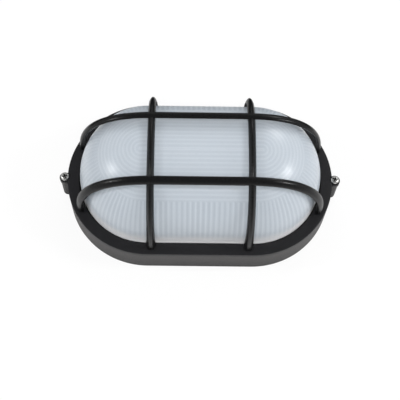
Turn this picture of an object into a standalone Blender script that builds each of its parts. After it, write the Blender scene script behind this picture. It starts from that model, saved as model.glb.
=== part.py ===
"""Oval bulkhead light with a cast guard cage over a ribbed glass.

It lies on its back: the wall plane is z = 0, the long axis is x, and the origin is
the middle of the wall plane. All sizes are in metres.
"""

import math

import bmesh
import bpy
from mathutils import Matrix, Vector

# Body: a long oval, two half rounds joined by straight sides.
BODY_LENGTH = 0.265
BODY_WIDTH = 0.162
BODY_DEPTH = 0.036
ARC_STEPS = 18
TURN_STEPS = 16
SMALL_TURN_STEPS = 10
SEAT_GAP = 0.0003
WELD = 0.000002

# Guard frame.
FACE_WIDTH = 0.0117
FACE_THICKNESS = 0.0037
FACE_EDGE = 0.005
FACE_ROUNDING = 0.0008
SPIGOT_WALL = 0.0022
SPIGOT_DEPTH = 0.0043

# Cage bars: a bar's path runs along its middle, and insets are from the body's rim.
SHORT_BAR_INSET = 0.004
SHORT_BAR_FOOT_INSET = 0.0078
SHORT_BAR_CLEARANCE = 0.0052
SHORT_BAR_WIDTH = 0.0062
SHORT_BAR_CREST = 0.0029
SHORT_BAR_SHOULDER = 0.0013
LONG_BAR_INSET = 0.0477
LONG_BAR_FOOT_INSET = 0.0073
LONG_BAR_FLAT_INSET = 0.0115
LONG_BAR_CLEARANCE = 0.002
LONG_BAR_WIDTH = 0.0078
LONG_BAR_CREST = 0.0031
LONG_BAR_LEAN = math.radians(27)
BAR_SQUARENESS = 2.45
BAR_BELLY = 0.0019
BAR_BELLY_WIDTH = 0.0040
BAR_FLARE = 0.24
BAR_SINK = 0.0012
BAR_STEPS = 26

# Screw ears on the guard, lugs on the housing and the screws through them.
EAR_REACH = 0.0028
EAR_RADIUS = 0.0054
EAR_HEIGHT = 0.0065
EAR_DROP = 0.002
EAR_LAP = 0.0002
EAR_STEPS = 24
SPOT_FACE_RADIUS = 0.005
LUG_RADIUS = 0.0046
LUG_ROOT = 0.0015
COVER_SCREW_RADIUS = 0.002
COVER_SCREW_LENGTH = 0.022
COVER_HEAD_RADIUS = 0.0041
COVER_HEAD_HEIGHT = 0.0028
RECESS_SPAN = 0.0046
RECESS_WIDTH = 0.0011
RECESS_DEPTH = 0.0016

# Back housing: outer skirt, shelf for the glass and inner tub.
SKIRT_WALL = 0.003
SHELF_THICKNESS = 0.003
TUB_INSET = 0.015
TUB_WALL = 0.003
TUB_DRAFT = 0.0015
FLOOR_THICKNESS = 0.003
FLOOR_LIFT = 0.002
FIXING_REACH = 0.0105
FIXING_INSET = 0.024
FIXING_PAD_RADIUS = 0.008
FIXING_PAD_HEIGHT = 0.0015
FIXING_HOLE_RADIUS = 0.0027
BLOCK_SEAT_MARGIN = 0.002

# Glass and its two gaskets.
GLASS_CLEARANCE = 0.0015
GLASS_RIM_CLEARANCE = 0.0022
GLASS_WALL = 0.0038
GLASS_RIM_THICKNESS = 0.0035
GLASS_RISE = 0.069
GLASS_SQUARENESS = 2.45
GLASS_STEPS = 11
LOWER_GASKET_THICKNESS = 0.0015
UPPER_GASKET_THICKNESS = 0.0012
GASKET_INSET = 0.0008
RIB_COUNT = 10
RIB_BAND = 0.045
RIB_HEIGHT = 0.0006
FLUTE_FOOT = 0.019
FLUTE_DEPTH = 0.0006
FLUTE_PITCH = 0.0052
FLUTE_ROWS = 3

# Lamp and lampholder, on a level axis along the body.
LAMP_AXIS_Z = 0.042
LAMP_LENGTH = 0.104
LAMP_RADIUS = 0.030
LAMP_LEAVE_ANGLE = -44
LAMP_NECK_RADIUS = 0.0144
LAMP_NECK_LENGTH = 0.0125
LAMP_CAP_RADIUS = 0.0131
LAMP_CAP_LENGTH = 0.026
LAMP_CAP_TAPER = 0.005
LAMP_TIP_RADIUS = 0.0045
LAMP_TIP_LENGTH = 0.002
HOLDER_END_GAP = 0.0105
HOLDER_RADIUS = 0.019
HOLDER_NECK_RADIUS = 0.0177
HOLDER_NECK_LENGTH = 0.020
HOLDER_STEP = 0.002
HOLDER_LENGTH = 0.040
HOLDER_BASE = 0.009
HOLDER_BORE = 0.0148
HOLDER_CHAMFER = 0.0019
SHELL_RADIUS = 0.0144
SHELL_WALL = 0.0006
SHELL_LENGTH = 0.025
CONTACT_WIDTH = 0.005
CONTACT_THICKNESS = 0.0005
CONTACT_RISE = 0.0024
CONTACT_FOOT = 0.0089
CONTACT_BEND = 0.0031
CONTACT_HEEL = 0.0009
CONTACT_TOE = 0.0040

# Bracket under the lampholder.
BRACKET_WIDTH = 0.022
BRACKET_THICKNESS = 0.0015
BRACKET_FOLD = 0.003
BRACKET_FOOT_LENGTH = 0.029
BRACKET_UPRIGHT = 0.011
BRACKET_HOLE_INSET = 0.008
BRACKET_HOLE_Y = 0.006
HOLDER_HOLE_Y = 0.0085
BOSS_RADIUS = 0.0045
BOSS_HEIGHT = 0.003
BOSS_HOLE_FLOOR = 0.001

# Terminal block, its brass inserts and their screws.
BLOCK_REACH = 0.004
POLE_COUNT = 3
POLE_PITCH = 0.010
BLOCK_LENGTH = 0.018
BLOCK_HEIGHT = 0.013
TAB_HEIGHT = 0.004
TAB_MARGIN = 0.0015
TAB_OVERLAP = 0.002
INSERT_RADIUS = 0.0028
INSERT_BORE = 0.0015
INSERT_LENGTH = 0.0148
INSERT_AXIS_HEIGHT = 0.0055
TERMINAL_SCREW_SPACING = 0.0076
TERMINAL_SCREW_RADIUS = 0.0013
TERMINAL_SCREW_LENGTH = 0.0045
WELL_RADIUS = 0.0021

# Small screws, earth point, wires and the rear cable entry.
SMALL_SCREW_RADIUS = 0.0015
SMALL_SCREW_LENGTH = 0.006
BLOCK_SCREW_LENGTH = 0.009
SMALL_HEAD_RADIUS = 0.0029
SMALL_HEAD_HEIGHT = 0.0020
SLOT_WIDTH = 0.0007
SLOT_DEPTH = 0.0008
HEAD_CHAMFER = 0.0005
EARTH_INSET_X = 0.0115
EARTH_INSET_Y = 0.032
WASHER_RADIUS = 0.0042
WASHER_THICKNESS = 0.0008
WIRE_RADIUS = 0.0011
WIRE_STEP = 0.009
WIRE_LIFT = 0.0022
WIRE_LEAD = 0.012
WIRE_SPREAD = 0.006
WIRE_DIP = 0.002
WIRE_LANE_START = 0.030
WIRE_LANE_INSET = 0.020
WIRE_LANE_GAP = 0.052
WIRE_PASS_GAP = 0.024
WIRE_PASS_Y = 0.028
WIRE_RISE_GAP = 0.008
WIRE_RISE_Y = 0.018
WIRE_END_GAP = 0.012
WIRE_END_Y = 0.0018
WIRE_END_RISE = 0.006
WIRE_END_STOP = 0.001
EARTH_WIRE_LEAD = 0.006
EARTH_WIRE_SPREAD = 0.003
EARTH_WIRE_GAP = 0.012
EARTH_WIRE_RISE = 0.006
GROMMET_END_GAP = 0.026
GROMMET_HOLE = 0.010
GROMMET_FLANGE = 0.0125
GROMMET_CABLE_HOLE = 0.0035
GROMMET_LIP = 0.0014
GROMMET_CONE_RADIUS = 0.0078
GROMMET_CONE_HEIGHT = 0.006

# Places that follow from the sizes above.
SPINE = (BODY_LENGTH - BODY_WIDTH) / 2
RIM_RADIUS = BODY_WIDTH / 2
FACE_UNDERSIDE = BODY_DEPTH - FACE_THICKNESS
PARTING_Z = BODY_DEPTH - FACE_EDGE
SHORT_BAR_X = SPINE - SHORT_BAR_INSET
SHORT_BAR_FOOT_Y = RIM_RADIUS - SHORT_BAR_FOOT_INSET
SHORT_BAR_RISE = GLASS_RISE + SHORT_BAR_CLEARANCE
LONG_BAR_Y = RIM_RADIUS - LONG_BAR_INSET
LONG_BAR_FLAT = SPINE - LONG_BAR_FLAT_INSET
LONG_BAR_FOOT_X = SPINE + math.sqrt((RIM_RADIUS - LONG_BAR_FOOT_INSET) ** 2 - LONG_BAR_Y ** 2)
LONG_BAR_RISE = GLASS_RISE + LONG_BAR_CLEARANCE
EAR_X = BODY_LENGTH / 2 + EAR_REACH
TUB_RADIUS = RIM_RADIUS - TUB_INSET
TUB_FOOT_RADIUS = TUB_RADIUS - TUB_DRAFT
FIXING_X = SPINE + FIXING_REACH
FIXING_Y = TUB_RADIUS - FIXING_INSET
SKIRT_INSIDE = RIM_RADIUS - SKIRT_WALL
SPIGOT_OUTSIDE = SKIRT_INSIDE - SEAT_GAP
SPIGOT_INSIDE = SPIGOT_OUTSIDE - SPIGOT_WALL
OPENING_RADIUS = RIM_RADIUS - FACE_WIDTH
GLASS_RADIUS = OPENING_RADIUS - GLASS_CLEARANCE
GLASS_INSIDE = GLASS_RADIUS - GLASS_WALL
GLASS_RIM_RADIUS = SPIGOT_INSIDE - GLASS_RIM_CLEARANCE
UPPER_GASKET_Z = FACE_UNDERSIDE - SEAT_GAP - UPPER_GASKET_THICKNESS
GLASS_RIM_Z = UPPER_GASKET_Z - SEAT_GAP - GLASS_RIM_THICKNESS
LOWER_GASKET_Z = GLASS_RIM_Z - SEAT_GAP - LOWER_GASKET_THICKNESS
SHELF_Z = LOWER_GASKET_Z - SEAT_GAP
FLOOR_Z = FLOOR_LIFT + FLOOR_THICKNESS
EAR_TOP = BODY_DEPTH - EAR_DROP
LUG_TOP = EAR_TOP - EAR_HEIGHT - SEAT_GAP
COVER_HEAD_Z = EAR_TOP + SEAT_GAP
COVER_HOLE_RADIUS = COVER_SCREW_RADIUS + SEAT_GAP
BOSS_TOP = FLOOR_Z + BOSS_HEIGHT
SMALL_HOLE_RADIUS = SMALL_SCREW_RADIUS + SEAT_GAP
HOLDER_BACK_X = SPINE + TUB_RADIUS - HOLDER_END_GAP
HOLDER_FLOOR_X = HOLDER_BACK_X - HOLDER_BASE - SEAT_GAP
LAMP_TIP_X = HOLDER_FLOOR_X - CONTACT_RISE - SEAT_GAP
BRACKET_FOOT_Z = BOSS_TOP + SEAT_GAP
BRACKET_BACK_X = HOLDER_BACK_X + SEAT_GAP
BRACKET_FOOT_X = HOLDER_BACK_X - BRACKET_FOOT_LENGTH
BRACKET_HOLE_X = BRACKET_FOOT_X + BRACKET_HOLE_INSET
BRACKET_TOP_Z = LAMP_AXIS_Z + BRACKET_UPRIGHT
BLOCK_X = -(SPINE + BLOCK_REACH)
BLOCK_WIDTH = POLE_COUNT * POLE_PITCH
BLOCK_SCREW_Y = -BLOCK_WIDTH / 2 - SMALL_HEAD_RADIUS
BLOCK_Z = BOSS_TOP + SEAT_GAP
INSERT_Z = BLOCK_Z + INSERT_AXIS_HEIGHT
EARTH_X = -(SPINE - EARTH_INSET_X)
EARTH_Y = TUB_RADIUS - EARTH_INSET_Y
GROMMET_X = -(SPINE + TUB_RADIUS - GROMMET_END_GAP)


def clear_scene():
    """Remove every object that the file starts with."""
    for obj in list(bpy.data.objects):
        bpy.data.objects.remove(obj, do_unlink=True)


def new_collection(name):
    """Add a collection to the scene."""
    collection = bpy.data.collections.new(name)
    bpy.context.scene.collection.children.link(collection)
    return collection


def new_material(name, colour, roughness, metallic=0.0, transmission=0.0):
    """A Principled material of one colour, given as linear RGB."""
    material = bpy.data.materials.new(name)
    material.use_nodes = True
    shader = material.node_tree.nodes["Principled BSDF"]
    shader.inputs["Base Color"].default_value = (*colour, 1.0)
    shader.inputs["Roughness"].default_value = roughness
    shader.inputs["Metallic"].default_value = metallic
    shader.inputs["Transmission Weight"].default_value = transmission
    material.diffuse_color = (*colour, 1.0)
    return material


clear_scene()
PARTS = new_collection("bulkhead_light")
CUTTERS = new_collection("cutters")
POWDER_COAT = new_material("black_powder_coat", (0.020, 0.020, 0.021), 0.55)
SATIN_GLASS = new_material("satin_pressed_glass", (0.62, 0.67, 0.72), 0.35, 0.0, 0.4)
RUBBER = new_material("epdm_rubber", (0.012, 0.012, 0.012), 0.8)
ZINC = new_material("zinc_plated_steel", (0.60, 0.60, 0.58), 0.3, 1.0)
PORCELAIN = new_material("glazed_porcelain", (0.80, 0.79, 0.75), 0.2)
NICKEL = new_material("nickel_plated_brass", (0.62, 0.58, 0.48), 0.3, 1.0)
BRASS = new_material("brass", (0.72, 0.50, 0.20), 0.35, 1.0)
LAMP_GLASS = new_material("opal_lamp_glass", (0.85, 0.85, 0.82), 0.3)
NYLON = new_material("natural_nylon", (0.75, 0.74, 0.68), 0.5)
LIVE_SLEEVE = new_material("brown_wire_insulation", (0.13, 0.05, 0.02), 0.5)
NEUTRAL_SLEEVE = new_material("blue_wire_insulation", (0.02, 0.09, 0.35), 0.5)
EARTH_SLEEVE = new_material("green_wire_insulation", (0.08, 0.30, 0.06), 0.5)


def add_object(name, mesh, material, collection=PARTS):
    """Link a mesh as a named object with its material."""
    obj = bpy.data.objects.new(name, mesh)
    collection.objects.link(obj)
    if material is not None:
        mesh.materials.append(material)
    return obj


def mesh_from(bm, name):
    """Turn a bmesh into a smooth shaded mesh with its sharp edges kept."""
    mesh = bpy.data.meshes.new(name)
    bmesh.ops.recalc_face_normals(bm, faces=bm.faces)
    bm.to_mesh(mesh)
    bm.free()
    mesh.shade_smooth()
    mesh.set_sharp_from_angle(angle=math.radians(35))
    return mesh


def as_cutter(obj):
    """Mark an object as a helper that is not part of the model."""
    obj.hide_render = True
    obj.display_type = "WIRE"
    return obj


def combine(target, other, operation):
    """Apply a Boolean of another object to a target, and drop the other object."""
    modifier = target.modifiers.new(operation.lower(), "BOOLEAN")
    modifier.object = other
    modifier.operation = operation
    modifier.solver = "EXACT"
    bpy.context.view_layer.update()
    graph = bpy.context.evaluated_depsgraph_get()
    mesh = bpy.data.meshes.new_from_object(target.evaluated_get(graph))
    target.modifiers.remove(modifier)
    mesh.name = target.name
    target.data = mesh
    mesh.set_sharp_from_angle(angle=math.radians(35))
    bpy.data.objects.remove(other, do_unlink=True)


def cut(target, cutter):
    """Cut one helper out of a target."""
    combine(target, cutter, "DIFFERENCE")


def join(target, other):
    """Join one helper to a target."""
    combine(target, other, "UNION")


def box(name, size, centre, material=None, collection=CUTTERS):
    """A box of a size about a centre."""
    bm = bmesh.new()
    bmesh.ops.create_cube(bm, size=1.0)
    bmesh.ops.scale(bm, vec=size, verts=bm.verts)
    obj = add_object(name, mesh_from(bm, name), material, collection)
    obj.location = centre
    return obj


def rod(name, radius, start, end, material=None, collection=CUTTERS, sides=TURN_STEPS):
    """A cylinder between two points on its axis."""
    start, end = Vector(start), Vector(end)
    bm = bmesh.new()
    bmesh.ops.create_cone(bm, cap_ends=True, segments=sides, radius1=radius,
                          radius2=radius, depth=(end - start).length)
    obj = add_object(name, mesh_from(bm, name), material, collection)
    obj.location = (start + end) / 2
    obj.rotation_euler = (end - start).to_track_quat("Z", "Y").to_euler()
    return obj


def turned(name, outline, material, steps=TURN_STEPS, collection=PARTS):
    """Turn an outline of (radius, height), top to bottom on its outer side."""
    bm = bmesh.new()
    verts = [bm.verts.new((radius, 0.0, height)) for radius, height in outline]
    for pair in zip(verts, verts[1:]):
        bm.edges.new(pair)
    mesh = bpy.data.meshes.new(name)
    bm.to_mesh(mesh)
    bm.free()
    obj = add_object(name, mesh, material, collection)
    screw = obj.modifiers.new("turn", "SCREW")
    screw.steps = steps
    screw.render_steps = steps
    screw.use_merge_vertices = True
    screw.merge_threshold = WELD
    screw.use_smooth_shade = True
    bpy.context.view_layer.update()
    graph = bpy.context.evaluated_depsgraph_get()
    solid = bpy.data.meshes.new_from_object(obj.evaluated_get(graph))
    obj.modifiers.remove(screw)
    solid.name = name
    obj.data = solid
    solid.set_sharp_from_angle(angle=math.radians(35))
    return obj


def quarter_round(centre, radius, start, end, steps=3):
    """Points of an arc in an outline, from one angle in degrees to another."""
    angles = [math.radians(start + (end - start) * i / steps) for i in range(steps + 1)]
    return [(centre[0] + radius * math.cos(a), centre[1] + radius * math.sin(a)) for a in angles]


def oval_sweep(bm, outline, closed=True):
    """Carry an outline of (offset, height) once round the body's long oval.

    The outline is turned half round one end, drawn along the straight side, and
    the same again for the other end, so each loop of the mesh is a true oval.
    """
    verts = [bm.verts.new((SPINE, -offset, height)) for offset, height in outline]
    pairs = list(zip(verts, verts[1:]))
    if closed:
        pairs.append((verts[-1], verts[0]))
    geometry = verts + [bm.edges.new(pair) for pair in pairs]
    for side in (1, -1):
        turned_end = bmesh.ops.spin(bm, geom=geometry, cent=(side * SPINE, 0, 0), axis=(0, 0, 1),
                                    angle=math.pi, steps=ARC_STEPS)["geom_last"]
        edges = [item for item in turned_end if isinstance(item, bmesh.types.BMEdge)]
        drawn = bmesh.ops.extrude_edge_only(bm, edges=edges)["geom"]
        new_verts = {item for item in drawn if isinstance(item, bmesh.types.BMVert)}
        bmesh.ops.translate(bm, verts=list(new_verts), vec=(-2 * side * SPINE, 0, 0))
        far_edges = [item for item in drawn if isinstance(item, bmesh.types.BMEdge)
                     and set(item.verts) <= new_verts]
        geometry = list(new_verts) + far_edges
    bmesh.ops.remove_doubles(bm, verts=bm.verts, dist=WELD)


def oval_solid(name, outline, material, closed=True, collection=PARTS):
    """A solid whose section is the same all round the body's oval."""
    bm = bmesh.new()
    oval_sweep(bm, outline, closed)
    return add_object(name, mesh_from(bm, name), material, collection)


def dome_height(offset, base, rise):
    """Height of the glass above its base line at an offset from the spine."""
    share = min(abs(offset) / base, 1.0)
    return rise * (1 - share ** GLASS_SQUARENESS) ** (1 / GLASS_SQUARENESS)


def dome_outline(base, rise, start, end, steps):
    """Points down a dome, evenly spread in angle between two offsets."""
    power = 2 / GLASS_SQUARENESS
    first = math.acos(min(start / base, 1.0) ** (1 / power))
    last = math.acos(min(end / base, 1.0) ** (1 / power))
    angles = [first + (last - first) * i / steps for i in range(steps + 1)]
    return [(base * max(math.cos(a), 0.0) ** power, rise * max(math.sin(a), 0.0) ** power)
            for a in angles]


def make_housing():
    """The cast back: skirt, shelf and tub in one section, then bosses and holes."""
    outline = [
        (0.0, FLOOR_LIFT),
        (TUB_FOOT_RADIUS + TUB_WALL, FLOOR_LIFT),
        (TUB_RADIUS + TUB_WALL, SHELF_Z - SHELF_THICKNESS),
        (SKIRT_INSIDE, SHELF_Z - SHELF_THICKNESS),
        (SKIRT_INSIDE, 0.0),
        (RIM_RADIUS, 0.0),
        (RIM_RADIUS, PARTING_Z - SEAT_GAP),
        (SKIRT_INSIDE, PARTING_Z - SEAT_GAP),
        (SKIRT_INSIDE, SHELF_Z),
        (TUB_RADIUS, SHELF_Z),
        (TUB_FOOT_RADIUS, FLOOR_Z),
        (0.0, FLOOR_Z),
    ]
    housing = oval_solid("back_housing", outline, POWDER_COAT, closed=False)
    web_length = EAR_REACH + LUG_ROOT
    web_size = (web_length, 2 * LUG_RADIUS, LUG_TOP)
    for side in (-1, 1):
        join(housing, rod("lug", LUG_RADIUS, (side * EAR_X, 0, 0), (side * EAR_X, 0, LUG_TOP)))
        join(housing, box("web", web_size, (side * (EAR_X - web_length / 2), 0, LUG_TOP / 2)))
        pad = (side * FIXING_X, side * FIXING_Y)
        join(housing, rod("pad", FIXING_PAD_RADIUS, (*pad, 0), (*pad, FLOOR_Z + FIXING_PAD_HEIGHT)))
    for x, y in boss_places():
        join(housing, rod("boss", BOSS_RADIUS, (x, y, FLOOR_Z - FLOOR_THICKNESS / 2),
                          (x, y, BOSS_TOP), sides=SMALL_TURN_STEPS))
    seat_size = (BLOCK_LENGTH - 2 * BLOCK_SEAT_MARGIN, BLOCK_WIDTH - 2 * BLOCK_SEAT_MARGIN,
                 2 * BOSS_HEIGHT)
    join(housing, box("block_seat", seat_size, (BLOCK_X, 0, BOSS_TOP - BOSS_HEIGHT)))
    for side in (-1, 1):
        cut(housing, rod("lug_hole", COVER_HOLE_RADIUS,
                         (side * EAR_X, 0, COVER_HEAD_Z - COVER_SCREW_LENGTH - SEAT_GAP),
                         (side * EAR_X, 0, BODY_DEPTH)))
        pad = (side * FIXING_X, side * FIXING_Y)
        cut(housing, rod("fixing_hole", FIXING_HOLE_RADIUS, (*pad, -BODY_DEPTH), (*pad, BODY_DEPTH)))
    for x, y in boss_places():
        cut(housing, rod("boss_hole", SMALL_HOLE_RADIUS, (x, y, FLOOR_LIFT + BOSS_HOLE_FLOOR),
                         (x, y, BODY_DEPTH), sides=SMALL_TURN_STEPS))
    cut(housing, rod("entry", GROMMET_HOLE, (GROMMET_X, 0, -BODY_DEPTH),
                     (GROMMET_X, 0, BODY_DEPTH), sides=TURN_STEPS))
    return housing


def boss_places():
    """Centres of the small screw bosses on the housing floor."""
    return [
        (BRACKET_HOLE_X, -BRACKET_HOLE_Y),
        (BRACKET_HOLE_X, BRACKET_HOLE_Y),
        (BLOCK_X, BLOCK_SCREW_Y),
        (EARTH_X, EARTH_Y),
    ]


def short_bar_ridge():
    """Ridge of the short bars: narrow at its crest, widest at its shoulder."""
    half = SHORT_BAR_WIDTH / 2
    depth = SHORT_BAR_CREST + SHORT_BAR_SHOULDER
    return [(half * share, SHORT_BAR_CREST - depth * share ** 2)
            for share in (1.0, 0.7, 0.35, 0.0, -0.35, -0.7, -1.0)]


def long_bar_ridge():
    """Ridge of the long bars: half an ellipse."""
    half = LONG_BAR_WIDTH / 2
    return [(half * math.cos(math.radians(a)), LONG_BAR_CREST * math.sin(math.radians(a)))
            for a in range(0, 181, 30)]


def bar_section(name, ridge):
    """Closed outline of a bar: its ridge over a flat, narrower belly."""
    half_belly = BAR_BELLY_WIDTH / 2
    points = ridge + [(-half_belly, -BAR_BELLY), (half_belly, -BAR_BELLY)]
    curve = bpy.data.curves.new(name, "CURVE")
    curve.dimensions = "2D"
    spline = curve.splines.new("POLY")
    spline.points.add(len(points) - 1)
    for point, (u, v) in zip(spline.points, points):
        point.co = (u, v, 0, 1)
    spline.use_cyclic_u = True
    obj = bpy.data.objects.new(name, curve)
    CUTTERS.objects.link(obj)
    return as_cutter(obj)


def arch(foot, flat, rise, steps):
    """Points (run, height) of a squared arch with a flat middle, foot to foot."""
    power = 2 / BAR_SQUARENESS
    quarter = []
    for i in range(steps + 1):
        angle = math.pi / 2 * i / steps
        run = flat + (foot - flat) * math.cos(angle) ** power if i < steps else flat
        quarter.append((run, rise * math.sin(angle) ** power))
    far_side = [(-run, height) for run, height in reversed(quarter)]
    return quarter + (far_side if flat > 0 else far_side[1:])


def make_bar(name, ridge, section_turn, points):
    """A bar of the cage as a bevelled curve, thicker towards its two feet."""
    section = bar_section(name + "_section", ridge)
    curve = bpy.data.curves.new(name, "CURVE")
    curve.dimensions = "3D"
    curve.bevel_mode = "OBJECT"
    curve.bevel_object = section
    curve.use_fill_caps = True
    curve.twist_mode = "MINIMUM"
    spline = curve.splines.new("POLY")
    spline.points.add(len(points) - 1)
    top = max(point[2] for point in points)
    for target, point in zip(spline.points, points):
        share = max(1 - (point[2] - BODY_DEPTH) / (top - BODY_DEPTH), 0.0)
        target.co = (*point, 1)
        target.radius = 1 + BAR_FLARE * min(share, 1.0) ** 1.5
        target.tilt = section_turn
    obj = bpy.data.objects.new(name, curve)
    CUTTERS.objects.link(obj)
    bpy.context.view_layer.update()
    graph = bpy.context.evaluated_depsgraph_get()
    mesh = bpy.data.meshes.new_from_object(obj.evaluated_get(graph))
    bm = bmesh.new()
    bm.from_mesh(mesh)
    bmesh.ops.remove_doubles(bm, verts=bm.verts, dist=WELD)
    solid = add_object(name + "_solid", mesh_from(bm, name), None, CUTTERS)
    bpy.data.objects.remove(obj, do_unlink=True)
    bpy.data.objects.remove(section, do_unlink=True)
    return solid


def short_bar(side):
    """A bar across the body, from one long side to the other."""
    path = arch(SHORT_BAR_FOOT_Y, 0.0, SHORT_BAR_RISE, BAR_STEPS // 2)
    points = [(side * SHORT_BAR_X, -run, BODY_DEPTH + height) for run, height in path]
    points[0] = (side * SHORT_BAR_X, -SHORT_BAR_FOOT_Y, BODY_DEPTH - BAR_SINK)
    points[-1] = (side * SHORT_BAR_X, SHORT_BAR_FOOT_Y, BODY_DEPTH - BAR_SINK)
    return make_bar("short_bar", short_bar_ridge(), 0.0, points)


def long_bar(side):
    """A bar along the body, leaning outwards as the glass below it does."""
    path = arch(LONG_BAR_FOOT_X, LONG_BAR_FLAT, LONG_BAR_RISE, BAR_STEPS // 2)
    points = [(-run, side * LONG_BAR_Y, BODY_DEPTH + height) for run, height in path]
    points[0] = (-LONG_BAR_FOOT_X, side * LONG_BAR_Y, BODY_DEPTH - BAR_SINK)
    points[-1] = (LONG_BAR_FOOT_X, side * LONG_BAR_Y, BODY_DEPTH - BAR_SINK)
    return make_bar("long_bar", long_bar_ridge(), -side * LONG_BAR_LEAN, points)


def make_guard():
    """The cast guard: bezel ring, four cage bars and two screw ears in one piece."""
    edge = quarter_round((RIM_RADIUS - FACE_ROUNDING, BODY_DEPTH - FACE_ROUNDING),
                         FACE_ROUNDING, 90, 0, 2)
    outline = [
        (OPENING_RADIUS, FACE_UNDERSIDE),
        (OPENING_RADIUS, BODY_DEPTH),
        *edge,
        (RIM_RADIUS, PARTING_Z),
        (SPIGOT_OUTSIDE, PARTING_Z),
        (SPIGOT_OUTSIDE, FACE_UNDERSIDE - SPIGOT_DEPTH),
        (SPIGOT_INSIDE, FACE_UNDERSIDE - SPIGOT_DEPTH),
        (SPIGOT_INSIDE, FACE_UNDERSIDE),
    ]
    guard = oval_solid("guard_frame", outline, POWDER_COAT)
    for side in (-1, 1):
        cut(guard, rod("spot_face", SPOT_FACE_RADIUS, (side * EAR_X, 0, EAR_TOP + EAR_LAP),
                       (side * EAR_X, 0, 2 * BODY_DEPTH), sides=EAR_STEPS))
        ear = rod("ear", EAR_RADIUS, (side * EAR_X, 0, EAR_TOP - EAR_HEIGHT),
                  (side * EAR_X, 0, EAR_TOP), sides=EAR_STEPS)
        clearance = RIM_RADIUS + SEAT_GAP
        ear_root_z = PARTING_Z + EAR_LAP
        body_line = [(0.0, ear_root_z), (clearance, ear_root_z), (clearance, 0.0), (0.0, 0.0)]
        cut(ear, oval_solid("body_line", body_line, None, closed=False, collection=CUTTERS))
        join(guard, ear)
        join(guard, short_bar(side))
        join(guard, long_bar(side))
    for side in (-1, 1):
        cut(guard, rod("ear_hole", COVER_HOLE_RADIUS, (side * EAR_X, 0, 0),
                       (side * EAR_X, 0, 2 * BODY_DEPTH)))
    return guard


def make_cover_screw(name, side):
    """A pan head screw with a cross recess, through an ear into its lug."""
    tip = -COVER_SCREW_LENGTH
    head = [(0.0, COVER_HEAD_HEIGHT)]
    head += [(COVER_HEAD_RADIUS * share, COVER_HEAD_HEIGHT * (1 - drop))
             for share, drop in ((0.55, 0.04), (0.82, 0.18), (0.95, 0.42), (1.0, 0.75), (1.0, 1.0))]
    shank = [(COVER_SCREW_RADIUS, 0.0), (COVER_SCREW_RADIUS, tip + COVER_SCREW_RADIUS / 2),
             (COVER_SCREW_RADIUS / 2, tip), (0.0, tip)]
    screw = turned(name, head + shank, ZINC)
    screw.location = (side * EAR_X, 0, COVER_HEAD_Z)
    for sizes in ((RECESS_SPAN, RECESS_WIDTH), (RECESS_WIDTH, RECESS_SPAN)):
        cut(screw, box("recess", (*sizes, 2 * RECESS_DEPTH),
                       (side * EAR_X, 0, COVER_HEAD_Z + COVER_HEAD_HEIGHT)))
    return screw


def make_small_screw(name, place, direction, length=SMALL_SCREW_LENGTH):
    """A slotted cheese head screw, its head's underside at a place."""
    head = [(0.0, SMALL_HEAD_HEIGHT),
            (SMALL_HEAD_RADIUS - HEAD_CHAMFER, SMALL_HEAD_HEIGHT),
            (SMALL_HEAD_RADIUS, SMALL_HEAD_HEIGHT - HEAD_CHAMFER),
            (SMALL_HEAD_RADIUS, 0.0)]
    shank = [(SMALL_SCREW_RADIUS, 0.0), (SMALL_SCREW_RADIUS, -length), (0.0, -length)]
    screw = turned(name, head + shank, ZINC, SMALL_TURN_STEPS)
    turn = Vector((0, 0, 1)).rotation_difference(Vector(direction))
    screw.matrix_world = Matrix.Translation(place) @ turn.to_matrix().to_4x4()
    slot = box("slot", (3 * SMALL_HEAD_RADIUS, SLOT_WIDTH, 2 * SLOT_DEPTH), (0, 0, 0))
    slot.matrix_world = screw.matrix_world @ Matrix.Translation((0, 0, SMALL_HEAD_HEIGHT))
    cut(screw, slot)
    return screw


def make_gaskets():
    """The rubber rings below and above the flange of the glass."""
    outer = GLASS_RIM_RADIUS - GASKET_INSET
    rings = (
        ("lower_gasket", TUB_RADIUS + GASKET_INSET, LOWER_GASKET_Z, LOWER_GASKET_THICKNESS),
        ("upper_gasket", OPENING_RADIUS + GASKET_INSET, UPPER_GASKET_Z, UPPER_GASKET_THICKNESS),
    )
    for name, inner, base, thickness in rings:
        top = base + thickness
        oval_solid(name, [(inner, base), (inner, top), (outer, top), (outer, base)], RUBBER)


def rib_outline(base, rise):
    """Inner face of the crown: rings of small scallops, from the rib band inwards."""
    points = []
    for i in range(2 * RIB_COUNT, 0, -1):
        offset = RIB_BAND * i / (2 * RIB_COUNT)
        lift = RIB_HEIGHT if i % 2 else 0.0
        points.append((offset, dome_height(offset, base, rise) - lift))
    return points + [(0.0, dome_height(0.0, base, rise))]


def flute_loop(bm, offset, height, depth):
    """One loop of the fluted band: every second point stands in by a depth."""
    arc_count = 2 * round(math.pi * GLASS_INSIDE / (2 * FLUTE_PITCH)) * 2
    side_count = 2 * round(2 * SPINE / FLUTE_PITCH)
    stations = []
    for side in (1, -1):
        for i in range(arc_count):
            stations.append((side * SPINE, math.radians(-90 * side) + math.pi * i / arc_count))
        for i in range(side_count):
            stations.append((side * SPINE * (1 - 2 * i / side_count), math.radians(90 * side)))
    loop = []
    for i, (centre, angle) in enumerate(stations):
        radius = offset - (depth if i % 2 else 0.0)
        loop.append(bm.verts.new((centre + radius * math.cos(angle), radius * math.sin(angle),
                                  height)))
    return loop


def loop_edges(bm, loop):
    """The edges of a closed loop of points, made where they are missing."""
    edges = []
    for a, b in zip(loop, loop[1:] + loop[:1]):
        edges.append(bm.edges.get((a, b)) or bm.edges.new((a, b)))
    return edges


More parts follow.
